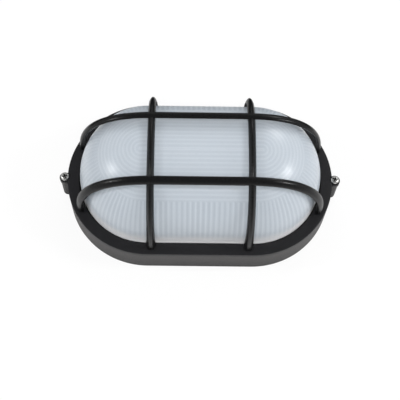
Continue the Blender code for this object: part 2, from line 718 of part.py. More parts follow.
def oval_edge_loop(bm, offset, height):
    """The edges of the swept oval at one offset and height."""
    picked = set()
    for vert in bm.verts:
        beyond = max(abs(vert.co.x) - SPINE, 0.0)
        reach = math.hypot(beyond, vert.co.y)
        if abs(vert.co.z - height) < WELD and abs(reach - offset) < WELD:
            picked.add(vert)
    return [edge for edge in bm.edges if edge.verts[0] in picked and edge.verts[1] in picked]


def make_glass():
    """The pressed glass: smooth outside, ribbed crown and fluted side inside."""
    inner_rise = GLASS_RISE - GLASS_WALL
    top_z = BODY_DEPTH
    outer = dome_outline(GLASS_RADIUS, GLASS_RISE, 0.0, GLASS_RADIUS, GLASS_STEPS)
    flute_share = 1 - (FLUTE_FOOT / inner_rise) ** GLASS_SQUARENESS
    band = GLASS_INSIDE * flute_share ** (1 / GLASS_SQUARENESS)
    plain = dome_outline(GLASS_INSIDE, inner_rise, band, GLASS_INSIDE, 2)
    outline = [(offset, top_z + height) for offset, height in plain]
    outline += [
        (GLASS_INSIDE, GLASS_RIM_Z),
        (GLASS_RIM_RADIUS, GLASS_RIM_Z),
        (GLASS_RIM_RADIUS, GLASS_RIM_Z + GLASS_RIM_THICKNESS),
        (GLASS_RADIUS, GLASS_RIM_Z + GLASS_RIM_THICKNESS),
    ]
    outline += [(offset, top_z + height) for offset, height in reversed(outer)]
    bm = bmesh.new()
    oval_sweep(bm, outline, closed=False)
    crown = [(offset, top_z + height) for offset, height in rib_outline(GLASS_INSIDE, inner_rise)]
    oval_sweep(bm, crown, closed=False)
    rows = dome_outline(GLASS_INSIDE, inner_rise, RIB_BAND, band, FLUTE_ROWS)
    loops = [flute_loop(bm, offset, top_z + height, FLUTE_DEPTH) for offset, height in rows[1:-1]]
    edge_sets = [oval_edge_loop(bm, crown[0][0], crown[0][1])]
    edge_sets += [loop_edges(bm, loop) for loop in loops]
    edge_sets.append(oval_edge_loop(bm, outline[0][0], outline[0][1]))
    for first, second in zip(edge_sets, edge_sets[1:]):
        bmesh.ops.bridge_loops(bm, edges=first + second)
    bmesh.ops.triangulate(bm, faces=[face for face in bm.faces if len(face.verts) > 4])
    return add_object("glass_diffuser", mesh_from(bm, "glass_diffuser"), SATIN_GLASS)


def along_x(obj, x, z=LAMP_AXIS_Z):
    """Lay a turned piece along the body: its top looks to -x from a back plane."""
    obj.location = (x, 0, z)
    obj.rotation_euler = (0, math.radians(-90), 0)
    return obj


def make_lampholder():
    """Porcelain body, its sleeve and its sprung contact."""
    body = turned("lampholder_body", [
        (0.0, HOLDER_BASE),
        (HOLDER_BORE, HOLDER_BASE),
        (HOLDER_BORE, HOLDER_LENGTH),
        (HOLDER_RADIUS - HOLDER_CHAMFER, HOLDER_LENGTH),
        (HOLDER_RADIUS, HOLDER_LENGTH - HOLDER_CHAMFER),
        (HOLDER_RADIUS, HOLDER_NECK_LENGTH + HOLDER_STEP),
        (HOLDER_NECK_RADIUS, HOLDER_NECK_LENGTH),
        (HOLDER_NECK_RADIUS, 0.0),
        (0.0, 0.0),
    ], PORCELAIN)
    along_x(body, HOLDER_BACK_X)
    hole_depth = SMALL_SCREW_LENGTH - BRACKET_THICKNESS
    for side in (-1, 1):
        y = side * HOLDER_HOLE_Y
        cut(body, rod("holder_hole", SMALL_HOLE_RADIUS, (HOLDER_BACK_X - hole_depth, y, LAMP_AXIS_Z),
                      (BODY_LENGTH, y, LAMP_AXIS_Z), sides=SMALL_TURN_STEPS))
    shell_inside = SHELL_RADIUS - SHELL_WALL
    shell = turned("lampholder_shell", [
        (shell_inside, 0.0),
        (shell_inside, SHELL_LENGTH),
        (SHELL_RADIUS, SHELL_LENGTH),
        (SHELL_RADIUS, 0.0),
        (shell_inside, 0.0),
    ], NICKEL)
    along_x(shell, HOLDER_FLOOR_X)
    raised_x = HOLDER_FLOOR_X - CONTACT_RISE + CONTACT_THICKNESS
    make_strip("lampholder_contact", CONTACT_WIDTH, CONTACT_THICKNESS, NICKEL, [
        (HOLDER_FLOOR_X, LAMP_AXIS_Z - CONTACT_FOOT),
        (HOLDER_FLOOR_X, LAMP_AXIS_Z - CONTACT_BEND),
        (raised_x, LAMP_AXIS_Z + CONTACT_HEEL),
        (raised_x, LAMP_AXIS_Z + CONTACT_TOE),
    ])


def make_strip(name, width, thickness, material, path):
    """A folded strip across y, from a path of (x, z) on its outer face."""
    bm = bmesh.new()
    verts = [bm.verts.new((x, -width / 2, z)) for x, z in path]
    edges = [bm.edges.new(pair) for pair in zip(verts, verts[1:])]
    drawn = bmesh.ops.extrude_edge_only(bm, edges=edges)["geom"]
    new_verts = [item for item in drawn if isinstance(item, bmesh.types.BMVert)]
    bmesh.ops.translate(bm, verts=new_verts, vec=(0, width, 0))
    mesh = bpy.data.meshes.new(name)
    bm.to_mesh(mesh)
    bm.free()
    obj = add_object(name, mesh, material)
    solidify = obj.modifiers.new("thickness", "SOLIDIFY")
    solidify.thickness = thickness
    solidify.offset = -1
    solidify.use_even_offset = True
    return obj


def make_bracket():
    """The folded steel bracket, its holes and the four screws that hold it."""
    upright_x = BRACKET_BACK_X + BRACKET_THICKNESS
    fold = quarter_round((upright_x - BRACKET_FOLD, BRACKET_FOOT_Z + BRACKET_FOLD),
                         BRACKET_FOLD, -90, 0, 4)
    path = [(BRACKET_FOOT_X, BRACKET_FOOT_Z), *fold, (upright_x, BRACKET_TOP_Z)]
    bracket = make_strip("lampholder_bracket", BRACKET_WIDTH, BRACKET_THICKNESS, ZINC, path)
    apply_modifiers(bracket)
    for side in (-1, 1):
        y = side * BRACKET_HOLE_Y
        cut(bracket, rod("foot_hole", SMALL_HOLE_RADIUS, (BRACKET_HOLE_X, y, 0),
                         (BRACKET_HOLE_X, y, BODY_DEPTH / 2), sides=SMALL_TURN_STEPS))
        y = side * HOLDER_HOLE_Y
        cut(bracket, rod("upright_hole", SMALL_HOLE_RADIUS,
                         (HOLDER_BACK_X - BRACKET_FOLD, y, LAMP_AXIS_Z),
                         (BODY_LENGTH, y, LAMP_AXIS_Z), sides=SMALL_TURN_STEPS))
    foot_top = BRACKET_FOOT_Z + BRACKET_THICKNESS + SEAT_GAP
    for name, side in (("front", -1), ("back", 1)):
        make_small_screw("bracket_screw_" + name, (BRACKET_HOLE_X, side * BRACKET_HOLE_Y, foot_top),
                         (0, 0, 1))
        make_small_screw("holder_screw_" + name,
                         (upright_x + SEAT_GAP, side * HOLDER_HOLE_Y, LAMP_AXIS_Z), (1, 0, 0))


def apply_modifiers(obj):
    """Replace an object's mesh by what its modifiers make of it."""
    bpy.context.view_layer.update()
    graph = bpy.context.evaluated_depsgraph_get()
    mesh = bpy.data.meshes.new_from_object(obj.evaluated_get(graph))
    obj.modifiers.clear()
    mesh.name = obj.name
    obj.data = mesh


def make_lamp():
    """The sealed lamp: round bulb, neck and screw cap as one solid."""
    bulb = quarter_round((0.0, LAMP_LENGTH - LAMP_RADIUS), LAMP_RADIUS, 90, LAMP_LEAVE_ANGLE, 9)
    outline = [
        (0.0, LAMP_LENGTH),
        *bulb[1:],
        (LAMP_NECK_RADIUS, LAMP_CAP_LENGTH + LAMP_NECK_LENGTH),
        (LAMP_CAP_RADIUS, LAMP_CAP_LENGTH),
        (LAMP_CAP_RADIUS, LAMP_CAP_TAPER),
        (LAMP_TIP_RADIUS, LAMP_TIP_LENGTH),
        (LAMP_TIP_RADIUS, 0.0),
        (0.0, 0.0),
    ]
    return along_x(turned("lamp", outline, LAMP_GLASS), LAMP_TIP_X)


def make_terminals():
    """Terminal block with its fixing tab, and a brass insert in each pole."""
    block = box("terminal_block", (BLOCK_LENGTH, BLOCK_WIDTH, BLOCK_HEIGHT),
                (BLOCK_X, 0, BLOCK_Z + BLOCK_HEIGHT / 2), NYLON, PARTS)
    tab_start = -BLOCK_WIDTH / 2 + TAB_OVERLAP
    tab_end = BLOCK_SCREW_Y - SMALL_HEAD_RADIUS - TAB_MARGIN
    tab_size = (2 * (SMALL_HEAD_RADIUS + TAB_MARGIN), tab_start - tab_end, TAB_HEIGHT)
    tab_centre = (BLOCK_X, (tab_start + tab_end) / 2, BLOCK_Z + TAB_HEIGHT / 2)
    join(block, box("tab", tab_size, tab_centre))
    cut(block, rod("tab_hole", SMALL_HOLE_RADIUS, (BLOCK_X, BLOCK_SCREW_Y, 0),
                   (BLOCK_X, BLOCK_SCREW_Y, BODY_DEPTH), sides=SMALL_TURN_STEPS))
    make_small_screw("block_screw", (BLOCK_X, BLOCK_SCREW_Y, BLOCK_Z + TAB_HEIGHT + SEAT_GAP),
                     (0, 0, 1), BLOCK_SCREW_LENGTH)
    for pole in range(POLE_COUNT):
        make_pole(block, pole)


def make_pole(block, pole):
    """One pole of the terminal block: bored block, brass insert, two clamping screws."""
    y = (pole - (POLE_COUNT - 1) / 2) * POLE_PITCH
    near, far = (BLOCK_X - BLOCK_LENGTH, y, INSERT_Z), (BLOCK_X + BLOCK_LENGTH, y, INSERT_Z)
    cut(block, rod("pole_bore", INSERT_RADIUS + SEAT_GAP, near, far, sides=SMALL_TURN_STEPS))
    insert = rod(f"terminal_insert_{pole + 1}", INSERT_RADIUS,
                 (BLOCK_X - INSERT_LENGTH / 2, y, INSERT_Z),
                 (BLOCK_X + INSERT_LENGTH / 2, y, INSERT_Z), BRASS, PARTS, SMALL_TURN_STEPS)
    cut(insert, rod("wire_bore", INSERT_BORE, near, far, sides=SMALL_TURN_STEPS))
    low = INSERT_Z + INSERT_RADIUS - TERMINAL_SCREW_LENGTH / 2
    high = low + TERMINAL_SCREW_LENGTH
    for number, side in ((1, -1), (2, 1)):
        x = BLOCK_X + side * TERMINAL_SCREW_SPACING / 2
        start, end = (x, y, INSERT_Z), (x, y, BODY_DEPTH)
        cut(block, rod("well", WELL_RADIUS, start, end, sides=SMALL_TURN_STEPS))
        cut(insert, rod("tapped_hole", TERMINAL_SCREW_RADIUS + SEAT_GAP, start, end,
                        sides=SMALL_TURN_STEPS))
        screw = rod(f"terminal_screw_{2 * pole + number}", TERMINAL_SCREW_RADIUS, (x, y, low),
                    (x, y, high), BRASS, PARTS, SMALL_TURN_STEPS)
        cut(screw, box("slot", (3 * TERMINAL_SCREW_RADIUS, SLOT_WIDTH, 2 * SLOT_DEPTH),
                       (x, y, high)))


def make_earth_point():
    """Earth screw and its washer on their boss."""
    base = BOSS_TOP + SEAT_GAP
    top = base + WASHER_THICKNESS
    washer = rod("earth_washer", WASHER_RADIUS, (EARTH_X, EARTH_Y, base), (EARTH_X, EARTH_Y, top),
                 ZINC, PARTS)
    cut(washer, rod("washer_hole", SMALL_HOLE_RADIUS, (EARTH_X, EARTH_Y, 0),
                    (EARTH_X, EARTH_Y, BODY_DEPTH), sides=SMALL_TURN_STEPS))
    make_small_screw("earth_screw", (EARTH_X, EARTH_Y, top + SEAT_GAP), (0, 0, 1))


def smooth_points(route, spacing):
    """Points read at even steps from a smooth curve through a route's own points."""
    route = [Vector(point) for point in route]
    padded = [2 * route[0] - route[1], *route, 2 * route[-1] - route[-2]]
    points = [route[0]]
    for before, start, end, after in zip(padded, padded[1:], padded[2:], padded[3:]):
        count = max(round((end - start).length / spacing), 1)
        for i in range(1, count + 1):
            t = i / count
            points.append(0.5 * (2 * start + (end - before) * t
                                 + (2 * before - 5 * start + 4 * end - after) * t * t
                                 + (3 * start - before - 3 * end + after) * t ** 3))
    return points


def make_wire(name, route, material):
    """An insulated wire along its route, with closed ends."""
    curve = bpy.data.curves.new(name, "CURVE")
    curve.dimensions = "3D"
    curve.bevel_depth = WIRE_RADIUS
    curve.bevel_resolution = 1
    curve.use_fill_caps = True
    points = smooth_points(route, WIRE_STEP)
    spline = curve.splines.new("POLY")
    spline.points.add(len(points) - 1)
    for target, point in zip(spline.points, points):
        target.co = (*point, 1)
    curve.materials.append(material)
    obj = bpy.data.objects.new(name, curve)
    PARTS.objects.link(obj)
    return obj


def make_wires():
    """Live and neutral to the lampholder, earth to its screw."""
    start_x = BLOCK_X + INSERT_LENGTH / 2 + SEAT_GAP
    low_z = FLOOR_Z + WIRE_RADIUS + WIRE_LIFT
    under_holder = LAMP_AXIS_Z - HOLDER_NECK_RADIUS - SEAT_GAP
    end_x = HOLDER_BACK_X - WIRE_END_GAP
    for name, pole, side, material in (("wire_live", -1, -1, LIVE_SLEEVE),
                                       ("wire_neutral", 0, 1, NEUTRAL_SLEEVE)):
        y = pole * POLE_PITCH
        lane = side * (TUB_RADIUS - WIRE_LANE_INSET)
        make_wire(name, [
            (start_x, y, INSERT_Z),
            (start_x + WIRE_LEAD, y + side * WIRE_SPREAD, INSERT_Z - WIRE_DIP),
            (start_x + WIRE_LANE_START, lane, low_z),
            (BRACKET_FOOT_X - WIRE_LANE_GAP, lane, low_z),
            (BRACKET_FOOT_X - WIRE_PASS_GAP, side * WIRE_PASS_Y, low_z),
            (BRACKET_FOOT_X + WIRE_RISE_GAP, side * WIRE_RISE_Y, low_z + WIRE_LIFT),
            (end_x, side * WIRE_END_Y, under_holder - WIRE_END_RISE),
            (end_x, side * WIRE_END_Y, under_holder - WIRE_END_STOP),
        ], material)
    make_wire("wire_earth", [
        (start_x, POLE_PITCH, INSERT_Z),
        (start_x + EARTH_WIRE_LEAD, POLE_PITCH + EARTH_WIRE_SPREAD, INSERT_Z),
        (EARTH_X + EARTH_WIRE_LEAD, EARTH_Y - EARTH_WIRE_GAP, BOSS_TOP + EARTH_WIRE_RISE),
        (EARTH_X, EARTH_Y - WASHER_RADIUS - SEAT_GAP - WIRE_RADIUS, BOSS_TOP + WIRE_LIFT),
    ], EARTH_SLEEVE)


def make_grommet():
    """Rubber grommet that fills the rear cable entry, gripping both faces."""
    neck = GROMMET_HOLE - SEAT_GAP
    low = FLOOR_LIFT - SEAT_GAP
    high = FLOOR_Z + SEAT_GAP
    outline = [
        (GROMMET_CABLE_HOLE, low - GROMMET_LIP),
        (GROMMET_CABLE_HOLE, high + GROMMET_CONE_HEIGHT),
        (GROMMET_CABLE_HOLE + GROMMET_LIP, high + GROMMET_CONE_HEIGHT),
        (GROMMET_CONE_RADIUS, high + GROMMET_LIP),
        (GROMMET_FLANGE, high + GROMMET_LIP),
        (GROMMET_FLANGE, high),
        (neck, high),
        (neck, low),
        (GROMMET_FLANGE, low),
        (GROMMET_FLANGE, low - GROMMET_LIP),
        (GROMMET_CABLE_HOLE, low - GROMMET_LIP),
    ]
    grommet = turned("cable_grommet", outline, RUBBER)
    grommet.location = (GROMMET_X, 0, 0)
    return grommet


def main():
    """Build every piece of the light."""
    make_housing()
    make_guard()
    make_glass()
    make_gaskets()
    make_cover_screw("cover_screw_left", -1)
    make_cover_screw("cover_screw_right", 1)
    make_lampholder()
    make_bracket()
    make_lamp()
    make_terminals()
    make_earth_point()
    make_wires()
    make_grommet()
    for helper in CUTTERS.objects:
        as_cutter(helper)


main()
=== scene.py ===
import logging
import math
from dataclasses import dataclass, field
from enum import Enum

import bmesh
import bpy
from mathutils import Matrix, Vector


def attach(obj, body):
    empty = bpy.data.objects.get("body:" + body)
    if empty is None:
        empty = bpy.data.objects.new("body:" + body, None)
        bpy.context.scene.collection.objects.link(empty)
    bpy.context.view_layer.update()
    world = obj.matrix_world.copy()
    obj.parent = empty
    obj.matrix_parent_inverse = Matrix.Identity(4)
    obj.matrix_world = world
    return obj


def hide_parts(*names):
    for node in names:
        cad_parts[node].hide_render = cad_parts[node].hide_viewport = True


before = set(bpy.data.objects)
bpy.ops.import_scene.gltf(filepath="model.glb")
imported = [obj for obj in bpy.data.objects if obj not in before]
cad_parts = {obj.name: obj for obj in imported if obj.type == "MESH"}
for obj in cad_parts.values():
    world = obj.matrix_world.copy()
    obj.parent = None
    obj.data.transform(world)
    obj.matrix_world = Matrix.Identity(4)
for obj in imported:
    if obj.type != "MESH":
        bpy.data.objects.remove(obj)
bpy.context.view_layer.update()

LOG = logging.getLogger("bulkhead_light")
MM = 0.001
# Points nearer than WELD are one point, and seams that a Boolean leaves are closed up to SEAM.
WELD = 1e-6
SEAM = 4e-6
SMOOTH_ANGLE = math.radians(32)
CORNER_STEPS = 4
UP = Vector((0, 0, 1))
# A noise pattern keeps mostly between these two values.
LOW_SPOT = 0.3
HIGH_SPOT = 0.7

Tree = bpy.types.NodeTree
Node = bpy.types.Node
Socket = bpy.types.NodeSocket
Material = bpy.types.Material
Piece = bpy.types.Object
Mesh = bmesh.types.BMesh
Pair = tuple[float, float]
Triple = tuple[float, float, float]
Loop = list[bmesh.types.BMVert]


def linear(hex_colour: str) -> tuple[float, float, float, float]:
    """Turn an sRGB hex colour into linear RGBA.

    Args:
        hex_colour: Six hex digits, with or without a leading hash.

    Returns:
        Linear red, green, blue and an alpha of 1.
    """
    digits = hex_colour.lstrip("#")
    channels = []
    for start in (0, 2, 4):
        value = int(digits[start:start + 2], 16) / 255
        if value <= 0.04045:
            channels.append(value / 12.92)
        else:
            channels.append(((value + 0.055) / 1.055) ** 2.4)
    return (*channels, 1.0)


def add_node(tree: Tree, kind: str, inputs: dict | None = None,
             stops: list[tuple[float, str]] | None = None, **settings: object) -> Node:
    """Add a node to a tree with its settings and links.

    Args:
        tree: The node tree.
        kind: The node's type name.
        inputs: For an input's name or number, a socket to link or a value to set.
        stops: On a colour ramp, positions with their hex colours, in rising order.
        **settings: Attributes of the node itself.

    Returns:
        The new node.
    """
    node = tree.nodes.new(kind)
    for name, value in settings.items():
        setattr(node, name, value)
    for key, value in (inputs or {}).items():
        if isinstance(value, Socket):
            tree.links.new(value, node.inputs[key])
        else:
            node.inputs[key].default_value = value
    if stops:
        elements = node.color_ramp.elements
        elements.remove(elements[-1])
        for position, _ in stops[1:]:
            elements.new(position)
        for element, (position, colour) in zip(elements, stops):
            element.position = position
            element.color = linear(colour)
    return node


def empty_tree(owner: Material | bpy.types.World) -> Tree:
    """Give the node tree of a material or a world, with nothing in it."""
    owner.use_nodes = True
    owner.node_tree.nodes.clear()
    return owner.node_tree


class Octaves(Enum):
    """How much finer detail a grain pattern carries."""

    PLAIN = 0.0
    FINE = 2.0
    RICH = 4.0


@dataclass(frozen=True)
class Grain:
    """A fine pattern on a surface: the real size of one blotch and what it does there."""

    size: float
    dulling: Pair | None = None
    depth: float = 0.0
    strength: float = 1.0
    octaves: Octaves = Octaves.FINE
    octave_fade: float = 0.55
    stretch: Triple = (1.0, 1.0, 1.0)


@dataclass(frozen=True)
class Finish:
    """A surface finish: colour, gloss, an optional clear coat and its grains."""

    name: str
    slot: str
    colour: str
    roughness: float
    metallic: float = 0.0
    coat: Pair = (0.0, 0.0)
    grains: tuple[Grain, ...] = ()

    def build(self) -> Material:
        """Make the material.

        Returns:
            A node material with one Principled shader.
        """
        material = bpy.data.materials.new(self.name)
        tree = empty_tree(material)
        shader = add_node(tree, "ShaderNodeBsdfPrincipled", {
            "Base Color": linear(self.colour), "Roughness": self.roughness,
            "Metallic": self.metallic})
        if self.coat[0]:
            shader.inputs["Coat Weight"].default_value = self.coat[0]
            shader.inputs["Coat Roughness"].default_value = self.coat[1]
        add_node(tree, "ShaderNodeOutputMaterial", {"Surface": shader.outputs["BSDF"]})
        for grain in self.grains:
            self.lay(tree, shader, grain)
        self.shade(tree, shader)
        material.diffuse_color = linear(self.colour)
        return material

    def shade(self, tree: Tree, shader: Node) -> None:
        """Add what only this finish has. A plain finish has nothing more."""

    def lay(self, tree: Tree, shader: Node, grain: Grain) -> Socket:
        """Lay a grain over the surface, as a change of gloss, as relief or as a bare pattern.

        Args:
            tree: The node tree.
            shader: The shader that it acts on.
            grain: The grain. Its dulling is the change of roughness at its low and high spots.

        Returns:
            The pattern's socket, from 0 to 1.
        """
        place = add_node(tree, "ShaderNodeTexCoord").outputs["Object"]
        point = add_node(tree, "ShaderNodeMapping", {"Vector": place, "Scale": grain.stretch})
        pattern = add_node(tree, "ShaderNodeTexNoise", {
            "Vector": point.outputs["Vector"], "Scale": 1 / grain.size,
            "Detail": grain.octaves.value, "Roughness": grain.octave_fade}).outputs["Fac"]
        if grain.dulling:
            low, high = grain.dulling
            dull = add_node(tree, "ShaderNodeMapRange", {
                "Value": pattern, "From Min": LOW_SPOT, "From Max": HIGH_SPOT,
                "To Min": self.roughness + low, "To Max": self.roughness + high})
            tree.links.new(dull.outputs["Result"], shader.inputs["Roughness"])
        if grain.depth:
            relief = add_node(tree, "ShaderNodeBump", {
                "Height": pattern, "Distance": grain.depth, "Strength": grain.strength})
            tree.links.new(relief.outputs["Normal"], shader.inputs["Normal"])
        return pattern


@dataclass(frozen=True)
class PowderCoat(Finish):
    """Sprayed and baked polyester powder on die-cast aluminium."""

    # The skirt's two colours are painted shade at its foot and a painted reflection at its top.
    skirt_shaded_foot: str = "#0C0C0C"
    skirt_lit_top: str = "#464444"
    skirt_height: float = 31.0 * MM
    skirt_edge: float = 31.5 * MM
    bar_colour: str = "#0D0D0E"
    bar_roughness: float = 0.3
    bar_start: float = 36.4 * MM
    bar_full: float = 39.0 * MM
    gloss: float = 0.26
    speckle: float = 0.3
    peel: Grain = Grain(2.6 * MM, depth=0.05 * MM, strength=0.5)
    powder: Grain = Grain(0.7 * MM)
    powder_depth: float = 0.1 * MM
    powder_strength: float = 0.9

    def shade(self, tree: Tree, shader: Node) -> None:
        """Colour the coat by height, with painted shade and painted reflection on the skirt, and lay
        its powder on the flat faces.

        Args:
            tree: The node tree.
            shader: The shader to dress.
        """
        shader.inputs["Specular IOR Level"].default_value = self.gloss
        place = add_node(tree, "ShaderNodeTexCoord").outputs["Object"]
        height = add_node(tree, "ShaderNodeSeparateXYZ", {"Vector": place}).outputs["Z"]
        flat = add_node(tree, "ShaderNodeMapRange", {
            "Value": height, "From Min": self.bar_start, "From Max": self.bar_full,
            "To Min": 1.0, "To Max": 0.0}).outputs["Result"]
        # Painted reflection and shade: the skirt is painted paler near its top, where it mirrors the
        # lit floor, and darker towards its foot, where the floor's shade falls.
        share = add_node(tree, "ShaderNodeMath", {0: height, 1: self.bar_full}, operation="DIVIDE")
        colour = add_node(tree, "ShaderNodeValToRGB", {"Fac": share.outputs["Value"]}, [
            (0.0, self.skirt_shaded_foot), (self.skirt_height / self.bar_full, self.skirt_lit_top),
            (self.skirt_edge / self.bar_full, self.colour),
            (self.bar_start / self.bar_full, self.colour), (1.0, self.bar_colour)])
        tree.links.new(colour.outputs["Color"], shader.inputs["Base Color"])
        # A powder grain is about 0.05 mm. It is drawn over ten times as coarse, to show at all.
        powder = self.lay(tree, shader, self.powder)
        level = add_node(tree, "ShaderNodeMapRange", {
            "Value": flat, "To Min": self.bar_roughness, "To Max": self.roughness})
        rough = add_node(tree, "ShaderNodeMath", {
            0: powder, 1: self.speckle, 2: level.outputs["Result"]}, operation="MULTIPLY_ADD")
        centred = add_node(tree, "ShaderNodeMath", {
            0: rough.outputs["Value"], 1: self.speckle / 2}, operation="SUBTRACT")
        tree.links.new(centred.outputs["Value"], shader.inputs["Roughness"])
        self.lay(tree, shader, self.peel)
        peeled = shader.inputs["Normal"].links[0].from_socket
        grains = add_node(tree, "ShaderNodeMath", {0: powder, 1: flat}, operation="MULTIPLY")
        relief = add_node(tree, "ShaderNodeBump", {
            "Height": grains.outputs["Value"], "Distance": self.powder_depth,
            "Strength": self.powder_strength, "Normal": peeled})
        tree.links.new(relief.outputs["Normal"], shader.inputs["Normal"])


@dataclass(frozen=True)
class SatinPressedGlass(Finish):
    """Pressed soda glass, etched to a satin face outside."""

    thin: str = "#AFB8C1"
    # The foot's colour is painted light: it pales the glass towards the ring, against the shade that
    # falls there.
    foot: str = "#FAFAFB"
    lit_foot_low: float = 38.0 * MM
    lit_foot_high: float = 56.0 * MM
    lit_foot_share: float = 0.86
    cloud: Grain = Grain(30.0 * MM)
    cloud_share: float = 0.3
    transmission: float = 0.1
    scatter_share: float = 0.5
    scatter: float = 2.0 * MM
    ior: float = 1.5

    def shade(self, tree: Tree, shader: Node) -> None:
        """Pale the ribs, paint light on the foot against the ring's shade, and let light scatter in
        the wall.

        Args:
            tree: The node tree.
            shader: The shader to dress.
        """
        wall = add_node(tree, "ShaderNodeAttribute", attribute_name="wall_share")
        ribs = add_node(tree, "ShaderNodeValToRGB", {"Fac": wall.outputs["Fac"]},
                        [(0.0, self.thin), (1.0, self.colour)])
        cloud = add_node(tree, "ShaderNodeMath", {
            0: self.lay(tree, shader, self.cloud), 1: self.cloud_share}, operation="MULTIPLY")
        place = add_node(tree, "ShaderNodeTexCoord").outputs["Object"]
        height = add_node(tree, "ShaderNodeSeparateXYZ", {"Vector": place}).outputs["Z"]
        # Painted light: the glass is painted paler towards its foot, against the shade of the ring.
        foot = add_node(tree, "ShaderNodeMapRange", {
            "Value": height, "From Min": self.lit_foot_high, "From Max": self.lit_foot_low,
            "To Min": 0.0, "To Max": self.lit_foot_share}, interpolation_type="SMOOTHSTEP")
        tint = ribs.outputs["Color"]
        for share, colour in ((cloud.outputs["Value"], self.colour),
                              (foot.outputs["Result"], self.foot)):
            # A Mix node's colours are its inputs 6 and 7 and its output 2.
            blend = add_node(tree, "ShaderNodeMix", {0: share, 6: tint, 7: linear(colour)},
                             data_type="RGBA")
            tint = blend.outputs[2]
        tree.links.new(tint, shader.inputs["Base Color"])
        for socket, value in (("Transmission Weight", self.transmission), ("IOR", self.ior),
                              ("Subsurface Weight", self.scatter_share),
                              ("Subsurface Radius", (1.0, 1.0, 1.0)),
                              ("Subsurface Scale", self.scatter)):
            shader.inputs[socket].default_value = value


@dataclass(frozen=True)
class BarrelZinc(Finish):
    """Steel with bright zinc, plated loose in a barrel."""

    bloom: str = "#C6C6C3"
    bloom_start: float = 0.35
    bloom_full: float = 0.7
    cloud: Grain = Grain(2.5 * MM, octaves=Octaves.RICH)

    def shade(self, tree: Tree, shader: Node) -> None:
        """Lay the cloudy bloom over the zinc's colour.

        Args:
            tree: The node tree.
            shader: The shader to dress.
        """
        bloom = add_node(tree, "ShaderNodeValToRGB", {"Fac": self.lay(tree, shader, self.cloud)},
                         [(self.bloom_start, self.colour), (self.bloom_full, self.bloom)])
        tree.links.new(bloom.outputs["Color"], shader.inputs["Base Color"])


# Scuffs of well under 0.1 mm, drawn at 0.35 mm to show.
SCUFF = Grain(0.35 * MM, (-0.06, 0.08), 0.01 * MM, stretch=(1.0, 3.0, 1.0))
# Tool rings at the real pitch of a fine cut, with the duller patches that handling leaves.
TOOL_RINGS = Grain(0.25 * MM, depth=0.01 * MM, octaves=Octaves.PLAIN, stretch=(1.0, 0.1, 0.1))
HANDLING = Grain(3.0 * MM, (-0.05, 0.1))
# Spark-eroded moulds leave a texture of about 0.05 mm, drawn ten times as coarse.
MOULD = Grain(0.6 * MM, (-0.05, 0.05), 0.015 * MM)

# Powder coat, sprayed and baked: the powder lies grainy on flat faces and flows out
# smoother on the thin, hot bars, so the faces look dull black and the bars glossier.
POWDER_COAT = PowderCoat("powder_coated_aluminium", "black_powder_coat", "#1B1B1D", 0.5)
# Soda glass, pressed and etched: a milky white in which thick ribs scatter more light than the
# grooves, and whose foot is painted paler towards the ring, as painted light against the shade there.
# The etch has pits of a few hundredths of a millimetre, drawn at 0.4 mm to show, and they blur the
# highlights into soft patches.
SATIN_GLASS = SatinPressedGlass("etched_pressed_glass", "satin_pressed_glass", "#C9D0D7", 0.31,
                                grains=(Grain(0.4 * MM, (-0.05, 0.05), 0.01 * MM, 0.5),))
# EPDM rubber, moulded: a dull, faintly mottled black.
RUBBER = Finish("moulded_epdm", "epdm_rubber", "#141414", 0.75,
                grains=(Grain(0.8 * MM, (-0.08, 0.08), 0.02 * MM),))
# Steel, zinc plated in a barrel: small scuffs from the tumbling on a bright, cloudy grey.
ZINC = BarrelZinc("barrel_plated_zinc", "zinc_plated_steel", "#D6D6D4", 0.3, 1.0, grains=(SCUFF,))
# The same zinc with painted shade in the foot of a recess: nearly black, with no sparkle.
RECESS_SHADE_ZINC = BarrelZinc("zinc_recess_painted_shade", "zinc_plated_steel", "#191918", 0.6, 1.0,
                        grains=(SCUFF,), bloom="#232321")
# Electrical porcelain, glazed: the glaze pools, so its gloss is deep over a slightly wavy face.
PORCELAIN = Finish("glazed_porcelain_body", "glazed_porcelain", "#E6E3DA", 0.18, coat=(0.6, 0.05),
                   grains=(Grain(6.0 * MM, (-0.04, 0.04), 0.05 * MM, 0.6),))
# Brass, turned: fine rings from the tool, under nickel plate or bare and yellow.
NICKEL = Finish("nickel_plated_sleeve", "nickel_plated_brass", "#CFC9B8", 0.28, 1.0,
                grains=(HANDLING, TOOL_RINGS))
BRASS = Finish("turned_brass", "brass", "#D9B65F", 0.32, 1.0, grains=(HANDLING, TOOL_RINGS))
# Lamp glass, blown and powder coated inside: evenly milky under a clear, glossy skin.
LAMP_GLASS = Finish("opal_bulb_glass", "opal_lamp_glass", "#EDEDE8", 0.25, coat=(0.4, 0.03),
                    grains=(Grain(12.0 * MM, (-0.05, 0.05)),))
# Nylon, injection moulded, and PVC, extruded: a light texture keeps the gloss low and even.
NYLON = Finish("moulded_nylon", "natural_nylon", "#DDD9CB", 0.48, grains=(MOULD,))
LIVE_SLEEVE = Finish("extruded_pvc_brown", "brown_wire_insulation", "#64412A", 0.45, grains=(MOULD,))
NEUTRAL_SLEEVE = Finish("extruded_pvc_blue", "blue_wire_insulation", "#2A5CA0", 0.45,
                        grains=(MOULD,))
EARTH_SLEEVE = Finish("extruded_pvc_green", "green_wire_insulation", "#4F9645", 0.45,
                      grains=(MOULD,))


